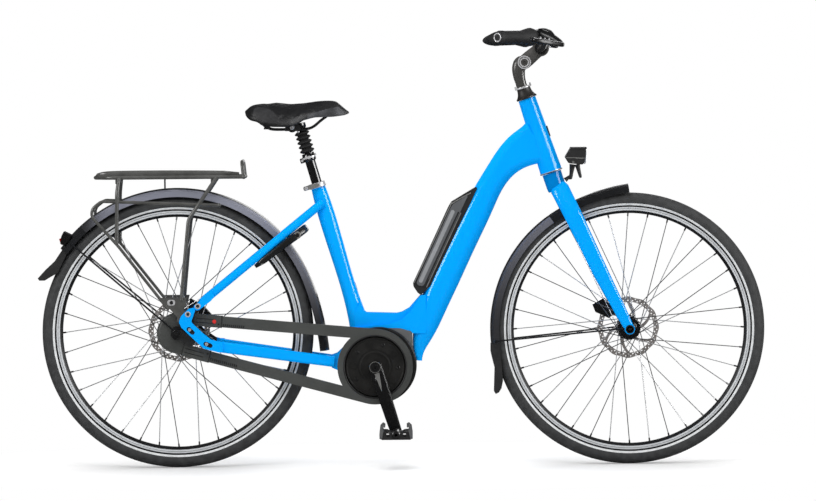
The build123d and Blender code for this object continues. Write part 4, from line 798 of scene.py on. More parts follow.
def crank_arm(flank):
    """Forged arm: rounded section that narrows its hollow face towards the pedal; at share s of the arm the
    width is w(s) and a groove of depth 3.6 (1 - s / 0.5) runs down its outer face. A thin grey wedge over the
    groove's upper part is a painted highlight, and a ringed boss caps the spindle."""
    tilt = math.atan2(RIGHT_PEDAL[0] - BRACKET[0], BRACKET[2] - RIGHT_PEDAL[2])
    down = np.array([math.sin(tilt), 0.0, -math.cos(tilt)]) * (1 if flank < 0 else -1)
    over = np.array([down[2], 0.0, -down[0]])
    length = np.linalg.norm((RIGHT_PEDAL - BRACKET) * (1, 0, 1))
    outward = np.array([0.0, flank, 0.0])
    inner, outer = 66.0, 80.5
    shares = np.concatenate([-0.091 * np.cos(np.linspace(0, np.pi / 2, 8)), np.linspace(0.02, 0.98, 30)])
    shares = np.concatenate([shares, 1 + 0.083 * np.sin(np.linspace(0, np.pi / 2, 8))])
    rows = []
    for share in shares:
        width = np.interp(share, [0.0, 0.3, 0.75, 1.0], [17.6, 17.6, 16.2, 15.0])
        if share < 0:
            width *= math.sqrt(max(1 - (share / 0.0915) ** 2, 0.0004))
        if share > 1:
            width *= math.sqrt(max(1 - ((share - 1) / 0.0835) ** 2, 0.0004))
        groove = 3.6 * max(0.0, 1 - share / 0.5) if share > 0.09 else 0.0
        places = width * np.array([-1, -0.97, -0.8, -0.45, -0.2, 0.0, 0.2, 0.45, 0.8, 0.97, 1, 0.97, -0.97])
        heights = np.array([inner + 3, outer - 3, outer - 0.4, outer, outer - groove, outer - 1.15 * groove])
        heights = np.concatenate(
            [heights, [outer - groove, outer, outer - 0.4, outer - 3, inner + 3, inner, inner]]
        )
        centre = BRACKET * (1, 0, 1) + down * length * share
        rows.append(centre + places[:, None] * over + heights[:, None] * outward)
    shells = [grid(rows, wrap_v=True, caps=True, slot=0)]
    boss = [
        (0, 0), (14.6, 0), (14.6, 3.4), (13.6, 4.2), (11.4, 4.2), (10.6, 3.0), (8.8, 2.6), (8.0, 3.4),
        (4.4, 3.4), (3.8, 1.4), (0, 1.4)
    ]
    shells.append(turned(boss, BRACKET * (1, 0, 1) + outward * (outer - 1.6), outward, 48, 1, False))
    ring = [(13.4, 3.0), (14.6, 3.0), (14.6, 4.0), (14.0, 4.6), (13.4, 4.5)]
    shells.append(turned(ring, BRACKET * (1, 0, 1) + outward * (outer - 1.6), outward, 48, 2))
    # Grey wedge over the groove's upper part: a painted highlight.
    painted_highlight_wedge, heights = [(-6, 16), (7, 16), (3, 66), (-1, 48)], (outer - 0.3, outer + 0.3)
    heights = heights if flank < 0 else (-heights[1], -heights[0])
    shells.append(plate(painted_highlight_wedge, *heights, (), BRACKET * (1, 0, 1), over, down, slot=2))
    end = BRACKET * (1, 0, 1) + down * length + outward * (outer - 1.0)
    shells.append(turned(disc_profile(9.5, 0, 1.6, 0.6), end, outward, 32, 1, False))
    return shells


def cranks():
    """Both arms on their spindle."""
    spindle = [(0, -66), (11.9, -66), (11.9, 66), (0, 66)]
    shells = [turned(spindle, BRACKET * (1, 0, 1), (0, 1, 0), 40, 1, False)] + crank_arm(-1) + crank_arm(1)
    piece("crank_arms", "crankset", shells, [GLOSS_BLACK, BLACK_METAL, LEVER_GREY], ("cranks",), sharp=28)


def pedal(name, flank, centre, turn):
    """Platform pedal: three windowed plates on a spindle, joined by two rails with pins, and grey upturned
    horns."""
    cos, sin = math.cos(turn), math.sin(turn)
    right, up = np.array([cos, 0.0, sin]), np.array([-sin, 0.0, cos])
    middle = centre * (1, 0, 1)
    inner, outer = 92.0, 188.0
    low, high = sorted((flank * -inner, flank * -outer))
    body = [
        (-37, -12), (37, -12), (41, -6), (41, 4), (35, 10), (22, 9), (16, 5.5), (-16, 5.5), (-22, 9),
        (-35, 10), (-41, 4), (-41, -6)
    ]
    windows = [
        rounded([(-33, -5), (-17, -5), (-17, 4), (-33, 4)], 2.5),
        rounded([(17, -5), (33, -5), (33, 4), (17, 4)], 2.5)
    ]
    shells = [plate(rounded(body, 3.0), low + 1, low + 15, windows, middle, right, up)]
    shells.append(plate(rounded(body, 3.0), high - 15, high - 1, windows, middle, right, up))
    shells.append(plate(
        rounded(body, 3.0), (low + high) / 2 - 7, (low + high) / 2 + 7, windows, middle, right, up
    ))
    for way in (-1, 1):
        rail = [(way * 25, -9.5), (way * 40, -9.5), (way * 40, 7.5), (way * 25, 7.5)]
        shells.append(plate(rounded(rail, 3.5), low + 2, high - 2, (), middle, right, up))
        horn = [
            (way * 42.3, -10), (way * 42.5, 3), (way * 40, 20), (way * 33, 27), (way * 26.5, 22.5),
            (way * 28, 19), (way * 33, 20.5), (way * 35, 16), (way * 31.5, 10.5), (way * 33, 6.0),
            (way * 36, -10)
        ]
        horn = horn if way > 0 else horn[::-1]
        for place in (low + 0.2, (low + high) / 2 - 2, high - 4.2):
            shells.append(plate(rounded(horn, 2.2, 4), place, place + 4.0, (), middle, right, up, slot=1))
        for place in np.linspace(low + 12, high - 12, 4):
            pin = middle + right * way * 33 + up * 7.0 + np.array([0, -place, 0])
            shells.append(turned([(0, 0), (1.8, 0), (1.5, 3.4), (0, 3.4)], pin, up, 10, 1, False))
    barrel = [
        (0, inner - 5), (9.5, inner - 5), (10.5, inner), (10.0, inner + 18), (8.4, inner + 26),
        (8.4, outer - 14), (10.6, outer - 10), (10.6, outer), (8.6, outer + 1.5), (4.0, outer + 1.5),
        (3.4, outer - 1), (0, outer - 1)
    ]
    shells.append(turned(barrel, middle, (0, flank, 0), 36, 2, False))
    shells.append(turned(
        [(0, 66.5), (6.0, 66.5), (6.0, inner), (0, inner)], middle, (0, flank, 0), 24, 2, False
    ))
    finishes = [BLACK_PLASTIC, PEDAL_GREY, BLACK_METAL]
    piece(name + "_platform", name, shells, finishes, (name,), bevel=0.7)


LEFT_PEDAL = laid_out(JOINTS["pedal_left_spin"]["pos_m"])
LEFT_PEDAL_TURN = math.radians(106.0)
chain_case()
sleeve(1, 40.0, 112.0, 11)
sleeve(-1, 24.0, 96.0, 14)
rear_cover()
motor()
drive_cover()
cranks()
pedal("pedal_right", -1, RIGHT_PEDAL, 0.0)
pedal("pedal_left", 1, LEFT_PEDAL, LEFT_PEDAL_TURN)


# ---- saddle and seat post ----------------------------------------------------------------------------------
SEAT_TUBE_TOP = SEAT + np.array([100.9, 0.0, -210.3])
PAD_PRESSURE = 4.0
PAD_STEPS = 20
PAD_START_INSIDE = 0.6
PAD_REACH = 2.4
PAD_HELD_SHARE = 0.21


def on_seat(distance, ahead=0.0, side=0.0):
    """Point given by its distance above the seat tube's upper end, ahead of the post and to the left."""
    return SEAT_TUBE_TOP + SEAT_UP * distance + SEAT_AHEAD * ahead + np.array([0.0, side, 0.0])


def stuffed(thing, held, smaller, reach):
    """Swells a closed pad by cloth simulation under a gentle inner pressure: its free points start a little
    inside the shape, its underside is held, and each point's move is cut to a reach, both in mm."""
    mesh = thing.data
    rest, normal = np.empty(len(mesh.vertices) * 3), np.empty(len(mesh.vertices) * 3)
    mesh.vertices.foreach_get("co", rest)
    mesh.vertices.foreach_get("normal", normal)
    rest, normal = rest.reshape(-1, 3), normal.reshape(-1, 3)
    fixed = held((rest - ORIGIN) / MM)
    rest[~fixed] -= normal[~fixed] * smaller * MM
    mesh.vertices.foreach_set("co", rest.ravel())
    mesh.update()
    group = thing.vertex_groups.new(name="held")
    group.add([int(index) for index in np.nonzero(fixed)[0]], 1.0, "REPLACE")
    cloth = thing.modifiers.new("cloth", "CLOTH")
    cloth.settings.vertex_group_mass = "held"
    cloth.settings.use_pressure = True
    cloth.settings.uniform_pressure_force = PAD_PRESSURE
    cloth.settings.effector_weights.gravity = 0.0
    cloth.point_cache.frame_start, cloth.point_cache.frame_end = 1, PAD_STEPS
    for number in range(1, PAD_STEPS + 1):
        bpy.context.scene.frame_set(number)
    shown = thing.evaluated_get(bpy.context.evaluated_depsgraph_get())
    moved = np.empty(rest.size)
    shown.to_mesh().vertices.foreach_get("co", moved)
    shown.to_mesh_clear()
    step = moved.reshape(-1, 3) - rest
    size = np.maximum(np.linalg.norm(step, axis=1, keepdims=True), 1e-9)
    thing.modifiers.remove(cloth)
    thing.vertex_groups.remove(group)
    bpy.context.scene.frame_set(1)
    mesh.vertices.foreach_set("co", (rest + step * np.minimum(1.0, reach * MM / size)).ravel())
    mesh.update()


def saddle():
    """Padded shell: at place x the section runs y = w(x) cos^p t, z = b(x) + (c(x) - b(x)) sin^p t from the
    skirt to the crown, with a shallow channel along the middle, a tucked lower lip and a hollow underside."""
    x = np.concatenate([[-81.2, -80.6, -79.2], np.linspace(-77, 180, 104), [182.2, 183.9, 184.8]])
    crown = np.interp(x, *zip(
        (-82, -22), (-79, -14.5), (-72, -6), (-60, -1), (-38, 2), (0, -0.8), (34, -4.6), (70, -2.6),
        (105, 2.6), (132, 5.2), (149, 5.0), (156, 0.2), (185, -25.2),
    ))
    low = np.interp(x, *zip(
        (-82, -27), (-76, -38), (-66, -43), (-50, -46), (-40, -54), (-12, -59.2), (33, -60.0),
        (52, -54), (64, -44), (96, -36), (141, -34.9), (176, -32.0), (185, -27.2),
    ))
    wide = np.interp(x, *zip(
        (-82, 22), (-79, 44), (-72, 60), (-58, 73), (-32, 80), (0, 80), (34, 68), (66, 47), (98, 33),
        (130, 27), (150, 24), (170, 15), (182, 7), (185, 3),
    ))
    smooth = np.array([1, 2, 3, 4, 3, 2, 1]) / 16.0
    crown, low, wide = (
        np.convolve(np.pad(values, 3, "edge"), smooth, "valid") for values in (crown, low, wide)
    )
    t = np.linspace(0, np.pi, 61)
    power = 0.74
    side = np.sign(np.cos(t)) * np.abs(np.cos(t)) ** power
    rise = np.sin(t) ** power
    channel = 2.2 * np.exp(-((side / 0.16) ** 2)) * np.interp(
        x, (-80, -40, 110, 160), (0.3, 1, 0.8, 0)
    )[:, None]
    across = wide[:, None] * side
    height = low[:, None] + (crown - low)[:, None] * rise - channel * rise
    lip_side = np.array([-0.97, -0.9, -0.84, -0.5, 0.5, 0.84, 0.9, 0.97])
    lip_drop = np.array([-2.2, -2.4, 1.0, 8.0, 8.0, 1.0, -2.4, -2.2])
    share = np.clip((crown - low) / 40.0, 0.1, 1.0)[:, None]
    across = np.hstack([across, wide[:, None] * lip_side])
    height = np.hstack([height, low[:, None] + lip_drop * share])
    rows = np.stack([np.broadcast_to(x[:, None], across.shape), across, height], axis=-1) + SEAT
    points, faces, _ = grid(rows, wrap_v=True, caps=True)
    slots = []
    for face in faces:
        along, _, rise = points[face].mean(axis=0) - SEAT
        nose = 78 < along < 172 and rise < np.interp(along, (78, 129, 159, 172), (-31.5, -16.0, -11.0, -25.0))
        tail = ((along + 27) / 33.0) ** 2 + ((rise + 31 + 0.35 * (along + 27)) / 19.0) ** 2 < 1
        slots.append(1 if nose else 2 if tail else 0)
    thing = piece(
        "saddle_pad", "saddle_post", [(points, faces, slots)], [SADDLE_SKIN, SADDLE_PANEL, SADDLE_SIDE],
        ("saddle",), sharp=60
    )
    lowest = low + PAD_HELD_SHARE * (crown - low)
    under = lambda at: at[:, 2] - SEAT[2] < np.interp(at[:, 0] - SEAT[0], x, lowest)
    stuffed(thing, under, PAD_START_INSIDE, PAD_REACH)


def saddle_fittings():
    """Moulded base under the tail with two elastomers, the forged clamp, and the pair of rails."""
    base = [
        (-66, -44), (-52, -47), (-42, -56), (-30, -61), (-14, -61), (4, -56), (20, -52), (-20, -40),
        (-60, -36)
    ]
    shells = [plate(rounded(base, 4.0), -44.0, 44.0, (), SEAT)]
    for flank in (-1, 1):
        foot = SEAT + (-27.0, flank * 26.0, -68.0)
        shells.append(turned(
            [(0, 0), (8, 0), (8, 3), (6.4, 5), (8.6, 7), (8.6, 11), (0, 11)], foot, (0, 0, 1), 24, 0, False
        ))
    clamp = SEAT + (38.0, 0.0, -64.0)
    shells.append(turned(
        [(0, -27), (11.5, -27), (12.5, -25), (12.5, 25), (11.5, 27), (0, 27)], clamp, (0, 1, 0), 32, 0, False
    ))
    jaw = [(-20, -9), (18, -9), (23, -3), (19, 5), (10, 12), (-6, 12), (-17, 6)]
    shells.append(plate(rounded(jaw, 3.0), -30.0, -14.0, (), clamp))
    shells.append(plate(rounded(jaw, 3.0), 14.0, 30.0, (), clamp))
    for flank in (-1, 1):
        shells.append(bolt(clamp + (0, flank * 30, 1), 6.0, 3.0, (0, flank, 0), 1))
        shells.append(bolt(clamp + (15, flank * 22, -9), 3.6, 5.0, (0.2, 0, -1), 1))
    piece("saddle_fittings", "saddle_post", shells, [BLACK_PLASTIC, BRIGHT_STEEL], bevel=1.0)
    rail = [
        (-62, -40), (-44, -50), (-26, -63), (-10, -68.2), (30, -68.6), (72, -68), (92, -62), (112, -46),
        (126, -36)
    ]
    lines = []
    for flank in (-1, 1):
        spread = np.interp([point[0] for point in rail], (-62, -16, 76, 126), (26, 22, 22, 12)) * flank
        line = curve([(x, y, z) for (x, z), y in zip(rail, spread)], 44) + SEAT
        lines.append(tube(line, 3.6, sides=14))
    piece("saddle_rail_pair", "saddle_post", lines, BLACK_METAL, ("saddle_rails",))


def seat_post():
    """Glossy post with a bright adjusting collar, and the head under the clamp."""
    profile = [
        (0, -118), (13.6, -118), (13.6, 62), (15.5, 64), (17.6, 66), (17.6, 76), (16.6, 78), (16.6, 83),
        (9.0, 84), (9.0, 146), (15, 150), (17, 154), (17, 162), (0, 164)
    ]
    shells = [turned(profile, SEAT_TUBE_TOP, SEAT_UP, 48, 0, False)]
    collar = [(16.9, 69), (18.4, 70), (18.4, 74), (16.9, 75)]
    shells.append(turned(collar, SEAT_TUBE_TOP, SEAT_UP, 48, 1))
    lug = rounded([(-25, 62), (-14, 62), (-14, 75), (-25, 75)], 2.5)
    shells.append(plate(lug, -5, 5, (), SEAT_TUBE_TOP, SEAT_AHEAD, SEAT_UP))
    shells.append(bolt(on_seat(68.5, -20, -5), 3.6, 3.0, slot=1))
    shells.append(bolt(on_seat(75.5, 15.5), 3.2, 4.0, SEAT_AHEAD, 1))
    shells.append(bolt(on_seat(72.0, 0.0, -17.2), 4.6, 2.6, slot=1))
    piece("seat_post_body", "saddle_post", shells, [GLOSS_BLACK, BRIGHT_STEEL], ("seatpost",), bevel=0.5)


def bellows():
    """Rubber boot of five sharp pleats: radius 12.6 + 6.8 |sin|^1.3 of the place along it."""
    place = np.linspace(0, 1, 81)
    radius = 12.6 + 6.8 * np.abs(np.sin(5 * np.pi * place)) ** 1.3
    profile = np.stack([radius, 84.5 + 58.0 * place], axis=-1)
    profile = np.vstack([profile, [(9.4, 142.5), (9.4, 84.5)]])
    piece(
        "bellows_boot", "saddle_post", [turned(profile, SEAT_TUBE_TOP, SEAT_UP, 56)], BLACK_RUBBER,
        ("bellows",), sharp=45
    )


def seat_clamp():
    """Bright clamp ring with its ears behind, and a grey quick-release lever folded along the drive side."""
    ring = [(17.6, -9), (22.0, -9), (22.4, -8), (22.4, 3), (22.0, 4), (14.2, 4), (14.2, 0.4), (17.6, 0.4)]
    shells = [turned(ring, SEAT_TUBE_TOP, SEAT_UP, 56, 0)]
    ear = rounded([(-38, -8), (-19, -8), (-19, 3), (-38, 3)], 3.5)
    for low in (-9.0, 2.5):
        shells.append(plate(ear, low, low + 6.5, (), SEAT_TUBE_TOP, SEAT_AHEAD, SEAT_UP))
    shells.append(turned(disc_profile(5.4, -14, 12, 1.0), on_seat(-2.5, -30), FACING_RIGHT, 24, 0, False))
    lever = [(-36, -7), (-8, -8), (3, -6), (5, -1), (0, 3), (-14, 4.5), (-37, 3)]
    shells.append(plate(rounded(lever, 3.5), 22.0, 28.0, (), SEAT_TUBE_TOP, SEAT_AHEAD, SEAT_UP, slot=1))
    shells.append(bolt(on_seat(-2.5, -30, -28.0), 4.6, 2.4, slot=0))
    piece("seat_clamp_ring", "frame", shells, [BRIGHT_STEEL, LEVER_GREY], ("seat_clamp",), bevel=0.8)


# ---- cockpit -----------------------------------------------------------------------------------------------
HEAD_TOP = STEER_FOOT + STEER_UP * 200.0
BAR_CLAMP = HEAD_TOP + np.array([36.0, 0.0, 129.6])
STEM_PIVOT = HEAD_TOP + np.array([-6.5, 0.0, 93.5])
GRIP_INNER = HEAD_TOP + np.array([10.0, 200.0, 157.0])
GRIP_OUTER = HEAD_TOP + np.array([-77.0, 305.0, 155.5])


def squircle(half_across, half_up, power=0.7, steps=32):
    """Rounded-box section (a cos^p t, b sin^p t)."""
    t = np.linspace(0, 2 * np.pi, steps, endpoint=False)
    curved = [np.sign(wave) * np.abs(wave) ** power for wave in (np.cos(t), np.sin(t))]
    return np.stack([half_across * curved[0], half_up * curved[1]], axis=-1)


def headset():
    """Flared rubber cone on the head tube and a bright clamp ring with two small lugs above it."""
    foot = HEAD_TOP + STEER_UP * 0.5
    cone = [
        (14.6, 0), (26.4, 0), (27.0, 1.5), (26.8, 4.0), (25.0, 5.2), (22.6, 8.5), (20.2, 13.5), (18.6, 19),
        (17.8, 25), (18.2, 27.6), (14.6, 27.6)
    ]
    shells = [turned(cone, foot, STEER_UP, 64, 0)]
    shells.append(turned(
        [(14.6, 27.8), (18.9, 27.8), (19.2, 29), (19.2, 31.4), (18.7, 32.4), (14.6, 32.4)], foot, STEER_UP,
        64, 1
    ))
    for way in (-1, 1):
        lug = foot + STEER_UP * 33.0 + STEER_AHEAD * way * 19.5
        outline = rounded([(-2.2, -5), (2.2, -5), (2.2, 4.5), (-2.2, 4.5)], 1.2)
        shells.append(plate(outline, -3.5, 3.5, (), lug, STEER_AHEAD, STEER_UP, slot=1))
    piece("headset_stack", "steering", shells, [HEADSET_RUBBER, BRIGHT_STEEL], ("headset_cone",), sharp=30)


def stem():
    """Adjustable stem: a waisted column that leans back, a round joint with turned rings, and an arm to the
    bar."""
    line = curve([(-11.8, 28), (-15.5, 42), (-19.5, 58), (-20.5, 76), (-15, 91), (-6.5, 97)], 30)
    line = np.stack([line[:, 0], np.zeros(len(line)), line[:, 1]], axis=-1) + HEAD_TOP
    share = np.linspace(0, 1, len(line))
    deep = np.interp(share, (0, 0.2, 0.5, 0.75, 0.92, 1), (14.2, 14.0, 16.4, 19.2, 17.5, 12))
    wide = np.interp(share, (0, 0.4, 0.8, 1), (16.5, 17.0, 19.0, 17.0))
    shells = [carried(line, [squircle(w, d) for w, d in zip(wide, deep)])]
    reach = BAR_CLAMP - STEM_PIVOT
    ahead = reach / np.linalg.norm(reach)
    line = np.array([STEM_PIVOT + reach * share for share in (-0.3, -0.22, 0.0, 0.3, 0.7, 1.0, 1.22, 1.28)])
    deep, wide = (8, 15, 18.5, 18.6, 17.6, 17.2, 13, 8), (15, 17, 18, 17.5, 18.5, 20, 20, 19)
    shells.append(carried(line, [squircle(w, d, 0.75) for w, d in zip(wide, deep)]))
    rings = [
        (0, 0), (17.2, 0), (17.2, 2.6), (16.4, 3.4), (15.0, 3.4), (14.2, 2.4), (12.6, 2.4), (12.0, 3.6),
        (9.8, 3.6), (9.0, 2.2), (6.4, 1.8), (5.8, 2.6), (3.4, 2.6), (3.0, 1.0), (0, 1.0)
    ]
    slots = np.array([0, 0, 1, 1, 1, 0, 1, 1, 1, 0, 0, 0, 0, 0])
    for flank in (-1, 1):
        shells.append(turned(rings, STEM_PIVOT + (0, flank * 17.6, 0), (0, flank, 0), 56, slots, False))
        plain = BAR_CLAMP + ahead * 4 + (0, flank * 15.0, 0)
        up = np.array([-ahead[2], 0, ahead[0]])
        for way in (-1, 1):
            shells.append(bolt(plain + ahead * 14.5 + up * way * 11.5, 3.4, 3.0, ahead, 1, 16))
    shells.append(turned(
        [(16.1, -22), (20.5, -22), (21.2, -21), (21.2, 21), (20.5, 22), (16.1, 22)], BAR_CLAMP, (0, 1, 0), 48
    ))
    piece("stem_body", "steering", shells, [STEM_GREY, BRIGHT_STEEL], ("stem",), sharp=40)


def grip_frame(flank):
    """Inner end, direction outwards along the grip, direction to its rear and its length."""
    inner, outer = GRIP_INNER * (1, flank, 1), GRIP_OUTER * (1, flank, 1)
    along = unit(outer - inner)
    behind = unit(np.cross(along, (0, 0, -flank)))
    return inner, along, behind, np.linalg.norm(outer - inner)


def grips():
    """Winged grips: at share s the section is r(s) (cos t, sin t) drawn out behind by w(s) max(cos t, 0) and
    thinned towards the wing's edge; a bright ring closes the outer end."""
    shells = []
    for flank in (-1, 1):
        inner, along, behind, length = grip_frame(flank)
        up = np.cross(behind, along) * flank
        up = up if up[2] > 0 else -up
        places = np.concatenate(
            [[-4, -3.4, -2], np.linspace(0, length, 44), [length + 4, length + 5.6, length + 6]]
        )
        t = np.linspace(0, 2 * np.pi, 44, endpoint=False)
        rows = []
        for place in places:
            share = place / length
            radius = np.interp(
                share, (-0.03, 0.0, 0.1, 0.22, 0.36, 1.0, 1.04), (14, 20.5, 23.5, 20.5, 16.6, 16.6, 13.5)
            )
            wing = np.interp(share, (0.1, 0.28, 0.6, 0.78, 0.9, 1.0, 1.045), (0, 8, 30, 37, 36, 26, 6))
            ridge = 0.35 * math.cos(place * 1.2) if 0.42 < share < 0.95 else 0.0
            front = np.maximum(np.cos(t), 0.0)
            back = (radius + ridge) * np.cos(t) + wing * front - 1.0
            lift = (radius + ridge) * np.sin(t) * (1 - 0.25 * front * wing / 37.0) - 0.12 * wing * front
            rows.append(inner + along * place + back[:, None] * behind + lift[:, None] * up)
        shells.append(grid(rows, wrap_v=True, caps=True))
        end = inner + along * (length + 5.6)
        ring = [(8.6, 0), (8.9, 1.6), (9.6, 2.2), (10.8, 2.2), (11.5, 1.6), (11.8, 0)]
        shells.append(turned(ring, end, along, 40, 1))
        shells.append(turned(disc_profile(8.6, 0, 0.9, 0.4), end, along, 32, 0, False))
        for place in (0.90, 0.94, 0.98):
            centre = inner + along * length * place
            shells.append(turned([(15.5, -0.8), (17.4, -0.5), (17.4, 0.5), (15.5, 0.8)], centre, along, 40))
    piece("grip_pair", "steering", shells, [BLACK_RUBBER, BRIGHT_STEEL], ("grips",), sharp=50)


def levers():
    """Hydraulic brake levers: a clamp round the bar, a tapered body running forward and down, and a curved
    blade that comes back beside the grip, with a bright strip along its upper edge that is a painted highlight."""
    shells = []
    for flank in (-1, 1):
        inner, along, behind, _ = grip_frame(flank)
        ahead = -behind
        clamp = inner - along * 12
        shells.append(turned(
            [(11.2, -8), (16.6, -8), (17.4, -7), (17.4, 7), (16.6, 8), (11.2, 8)], clamp, along, 36
        ))
        body = [
            clamp + ahead * r + (0, 0, z) for r,
            z in ((6, 3), (20, 4), (40, -2), (60, -9), (78, -17), (88, -22))
        ]
        sizes = ((12, 12), (12.5, 15), (11.5, 15), (10, 12), (7.5, 9), (4, 5))
        shells.append(carried(curve(body, 26), [squircle(*size) for size in resized(sizes, 26)], along))
        cap = [clamp + ahead * r + (0, 0, z) for r, z in ((14, 19.5), (30, 18.0), (46, 12.5), (58, 4.5))]
        shells.append(carried(
            curve(cap, 16), [squircle(*size) for size in resized(((6, 2), (9, 4), (8, 4), (4, 2)), 16)], along
        ))
        nose = clamp + ahead * 84 + (0, 0, -20)
        blade = [
            nose - along * 6, nose + along * 10 + ahead * 6, nose + along * 45 + ahead * 3 + (0, 0, 4),
            nose + along * 85 - ahead * 6 + (0, 0, 10), nose + along * 112 - ahead * 6 + (0, 0, 13)
        ]
        line = curve(blade, 34)
        shells.append(carried(line, squircle(5.6, 3.6, 0.6), (0, 0, 1)))
        # Bright strip along the blade's upper edge: a painted highlight.
        shells.append(tube(line + (0, 0, 5.2), 1.0, (0, 0, 1), 8, slot=1))
        shells.append(turned(disc_profile(6.6, -6.6, 6.6, 6.0), line[-1], along, 24, 0, False))
        for place, radius in ((26, 3.0), (40, 2.4), (54, 2.6)):
            at = clamp + ahead * place + along * 11.6 + (0, 0, 1 - place * 0.14)
            shells.append(bolt(at, radius, 2.0, along, 1, 16))
        pod = clamp - along * 16
        shells.append(turned([(11.2, -6), (17, -6), (19, -4), (19, 6), (17, 8), (11.2, 8)], pod, along, 36))
        stalk = pod + ahead * 22 + (0, 0, -9)
        shells.append(carried([pod, (pod + stalk) / 2, stalk], squircle(7, 8), along))
        shells.append(turned(disc_profile(10, -9, 9, 3.0), stalk, along, 28, 0, False))
    piece("brake_lever_pair", "steering", shells, [LEVER_BLACK, BRIGHT_STEEL], ("brake_levers",), sharp=40)


def resized(values, count):
    """The rows of a short table, sampled evenly to a given number of rows."""
    values = np.asarray(values, float)
    places = np.linspace(0, len(values) - 1, count)
    return np.stack([np.interp(places, range(len(values)), column) for column in values.T], axis=-1)


def display():
    """Small tilted computer on a strap beside the stem, with a dark screen and a key on its rider's side."""
    centre = BAR_CLAMP + (20.0, 58.0, 24.0)
    tilt = math.radians(24)
    right, up = np.array([math.cos(tilt), 0.0, -math.sin(tilt)]), np.array([0.0, 1.0, 0.0])
    case = rounded([(-31, -23), (31, -23), (31, 23), (-31, 23)], 8.0)
    shells = [plate(case, -6.0, 6.0, (), centre, right, up)]
    glass = rounded([(-20, -19), (27, -19), (27, 19), (-20, 19)], 5.0)
    shells.append(plate(glass, 5.5, 6.5, (), centre, right, up, slot=1))
    shells.append(turned(
        disc_profile(4.0, 0, 1.5, 0.6), centre + right * -25.5 + np.cross(right, up) * 5.6,
        np.cross(right, up), 20, 0, False
    ))
    strap = [(11.2, -6), (17.0, -6), (17.0, 6), (11.2, 6)]
    shells.append(turned(strap, BAR_CLAMP + (0, 42, 0), (0, 1, 0), 36))
    line = [BAR_CLAMP + (4, 42, 10), BAR_CLAMP + (12, 46, 18), centre + (-4, -10, -2)]
    shells.append(tube(curve(line, 10), 6.0, (0, 1, 0), 14))
    piece("display_unit", "steering", shells, [BLACK_PLASTIC, SCREEN], ("display",), bevel=1.2)


saddle()
saddle_fittings()
seat_post()
bellows()
seat_clamp()
headset()
stem()
grips()
levers()
display()


# ---- fenders -----------------------------------------------------------------------------------------------
FENDER_HALF = 27.0
FENDER_SHEET = 1.8
REAR_STAY_TURN = 139.7
FRONT_STAY_TURN = 185.0
REAR_FENDER_EDGE = TYRE_RADIUS + 22.0
FRONT_FENDER_EDGE = TYRE_RADIUS + 8.0
PLATE_FACE = 72.5
PLATE_OUTER = 78.5


def around(hub, radius, degrees, side=0.0):
    """Point on a circle round a hub, and to its left by side."""
    turn = math.radians(degrees)
    return hub + np.array([radius * math.cos(turn), side, radius * math.sin(turn)])


def fender_line(hub, radius, curve_radius, turn_at, start, stop, steps):
    """The crown's points and their outward directions, on a circle that touches the hub-centred one
    at one angle."""
    turns = np.radians(np.linspace(start, stop, steps))
    outward = np.stack([np.cos(turns), np.zeros(steps), np.sin(turns)], axis=-1)
    touch = math.radians(turn_at)
    centre = hub - np.array([math.cos(touch), 0.0, math.sin(touch)]) * (curve_radius - radius)
    return centre + outward * curve_radius, outward


def fender_shell(crown, outward, painted_sheen=True):
    """Rolled sheet: across the crown the section falls by 9 (1 - cos(pi y / 2w)), each flank runs down to 24
    below the crown, and the sheet is 1.8 thick. A band of painted reflection runs along each flank, up to the
    crown's shoulder."""
    across = np.sin(np.linspace(-np.pi / 2, np.pi / 2, 15)) * FENDER_HALF
    drop = -9.0 * (1 - np.cos(np.pi * across / (2 * FENDER_HALF)))
    flank = np.array([-24.0, -23.0, -19.0, -14.0, -10.5])
    outer = [(-FENDER_HALF, z) for z in flank] + list(zip(across, drop)) + [
        (FENDER_HALF, z) for z in flank[::-1]
    ]
    inner = [
        (y * (FENDER_HALF - FENDER_SHEET) / FENDER_HALF, max(z - FENDER_SHEET, -24.0)) for y, z in outer[::-1]
    ]
    section = np.array(outer + inner)
    rows = crown[:, None, :] + section[None, :, 1:2] * outward[:, None, :]
    rows = rows + section[None, :, 0:1] * np.array([0.0, 1.0, 0.0])
    points, faces, _ = grid(rows, wrap_v=True, caps=True)
    count, slots = len(section), []
    for index in range(len(faces)):
        place, column = divmod(index, count)
        # Flank columns get the painted reflection.
        slots.append(int(painted_sheen and place < len(crown) - 1 and (1 <= column <= 8 or 15 <= column <= 22)))
    return points, faces, slots


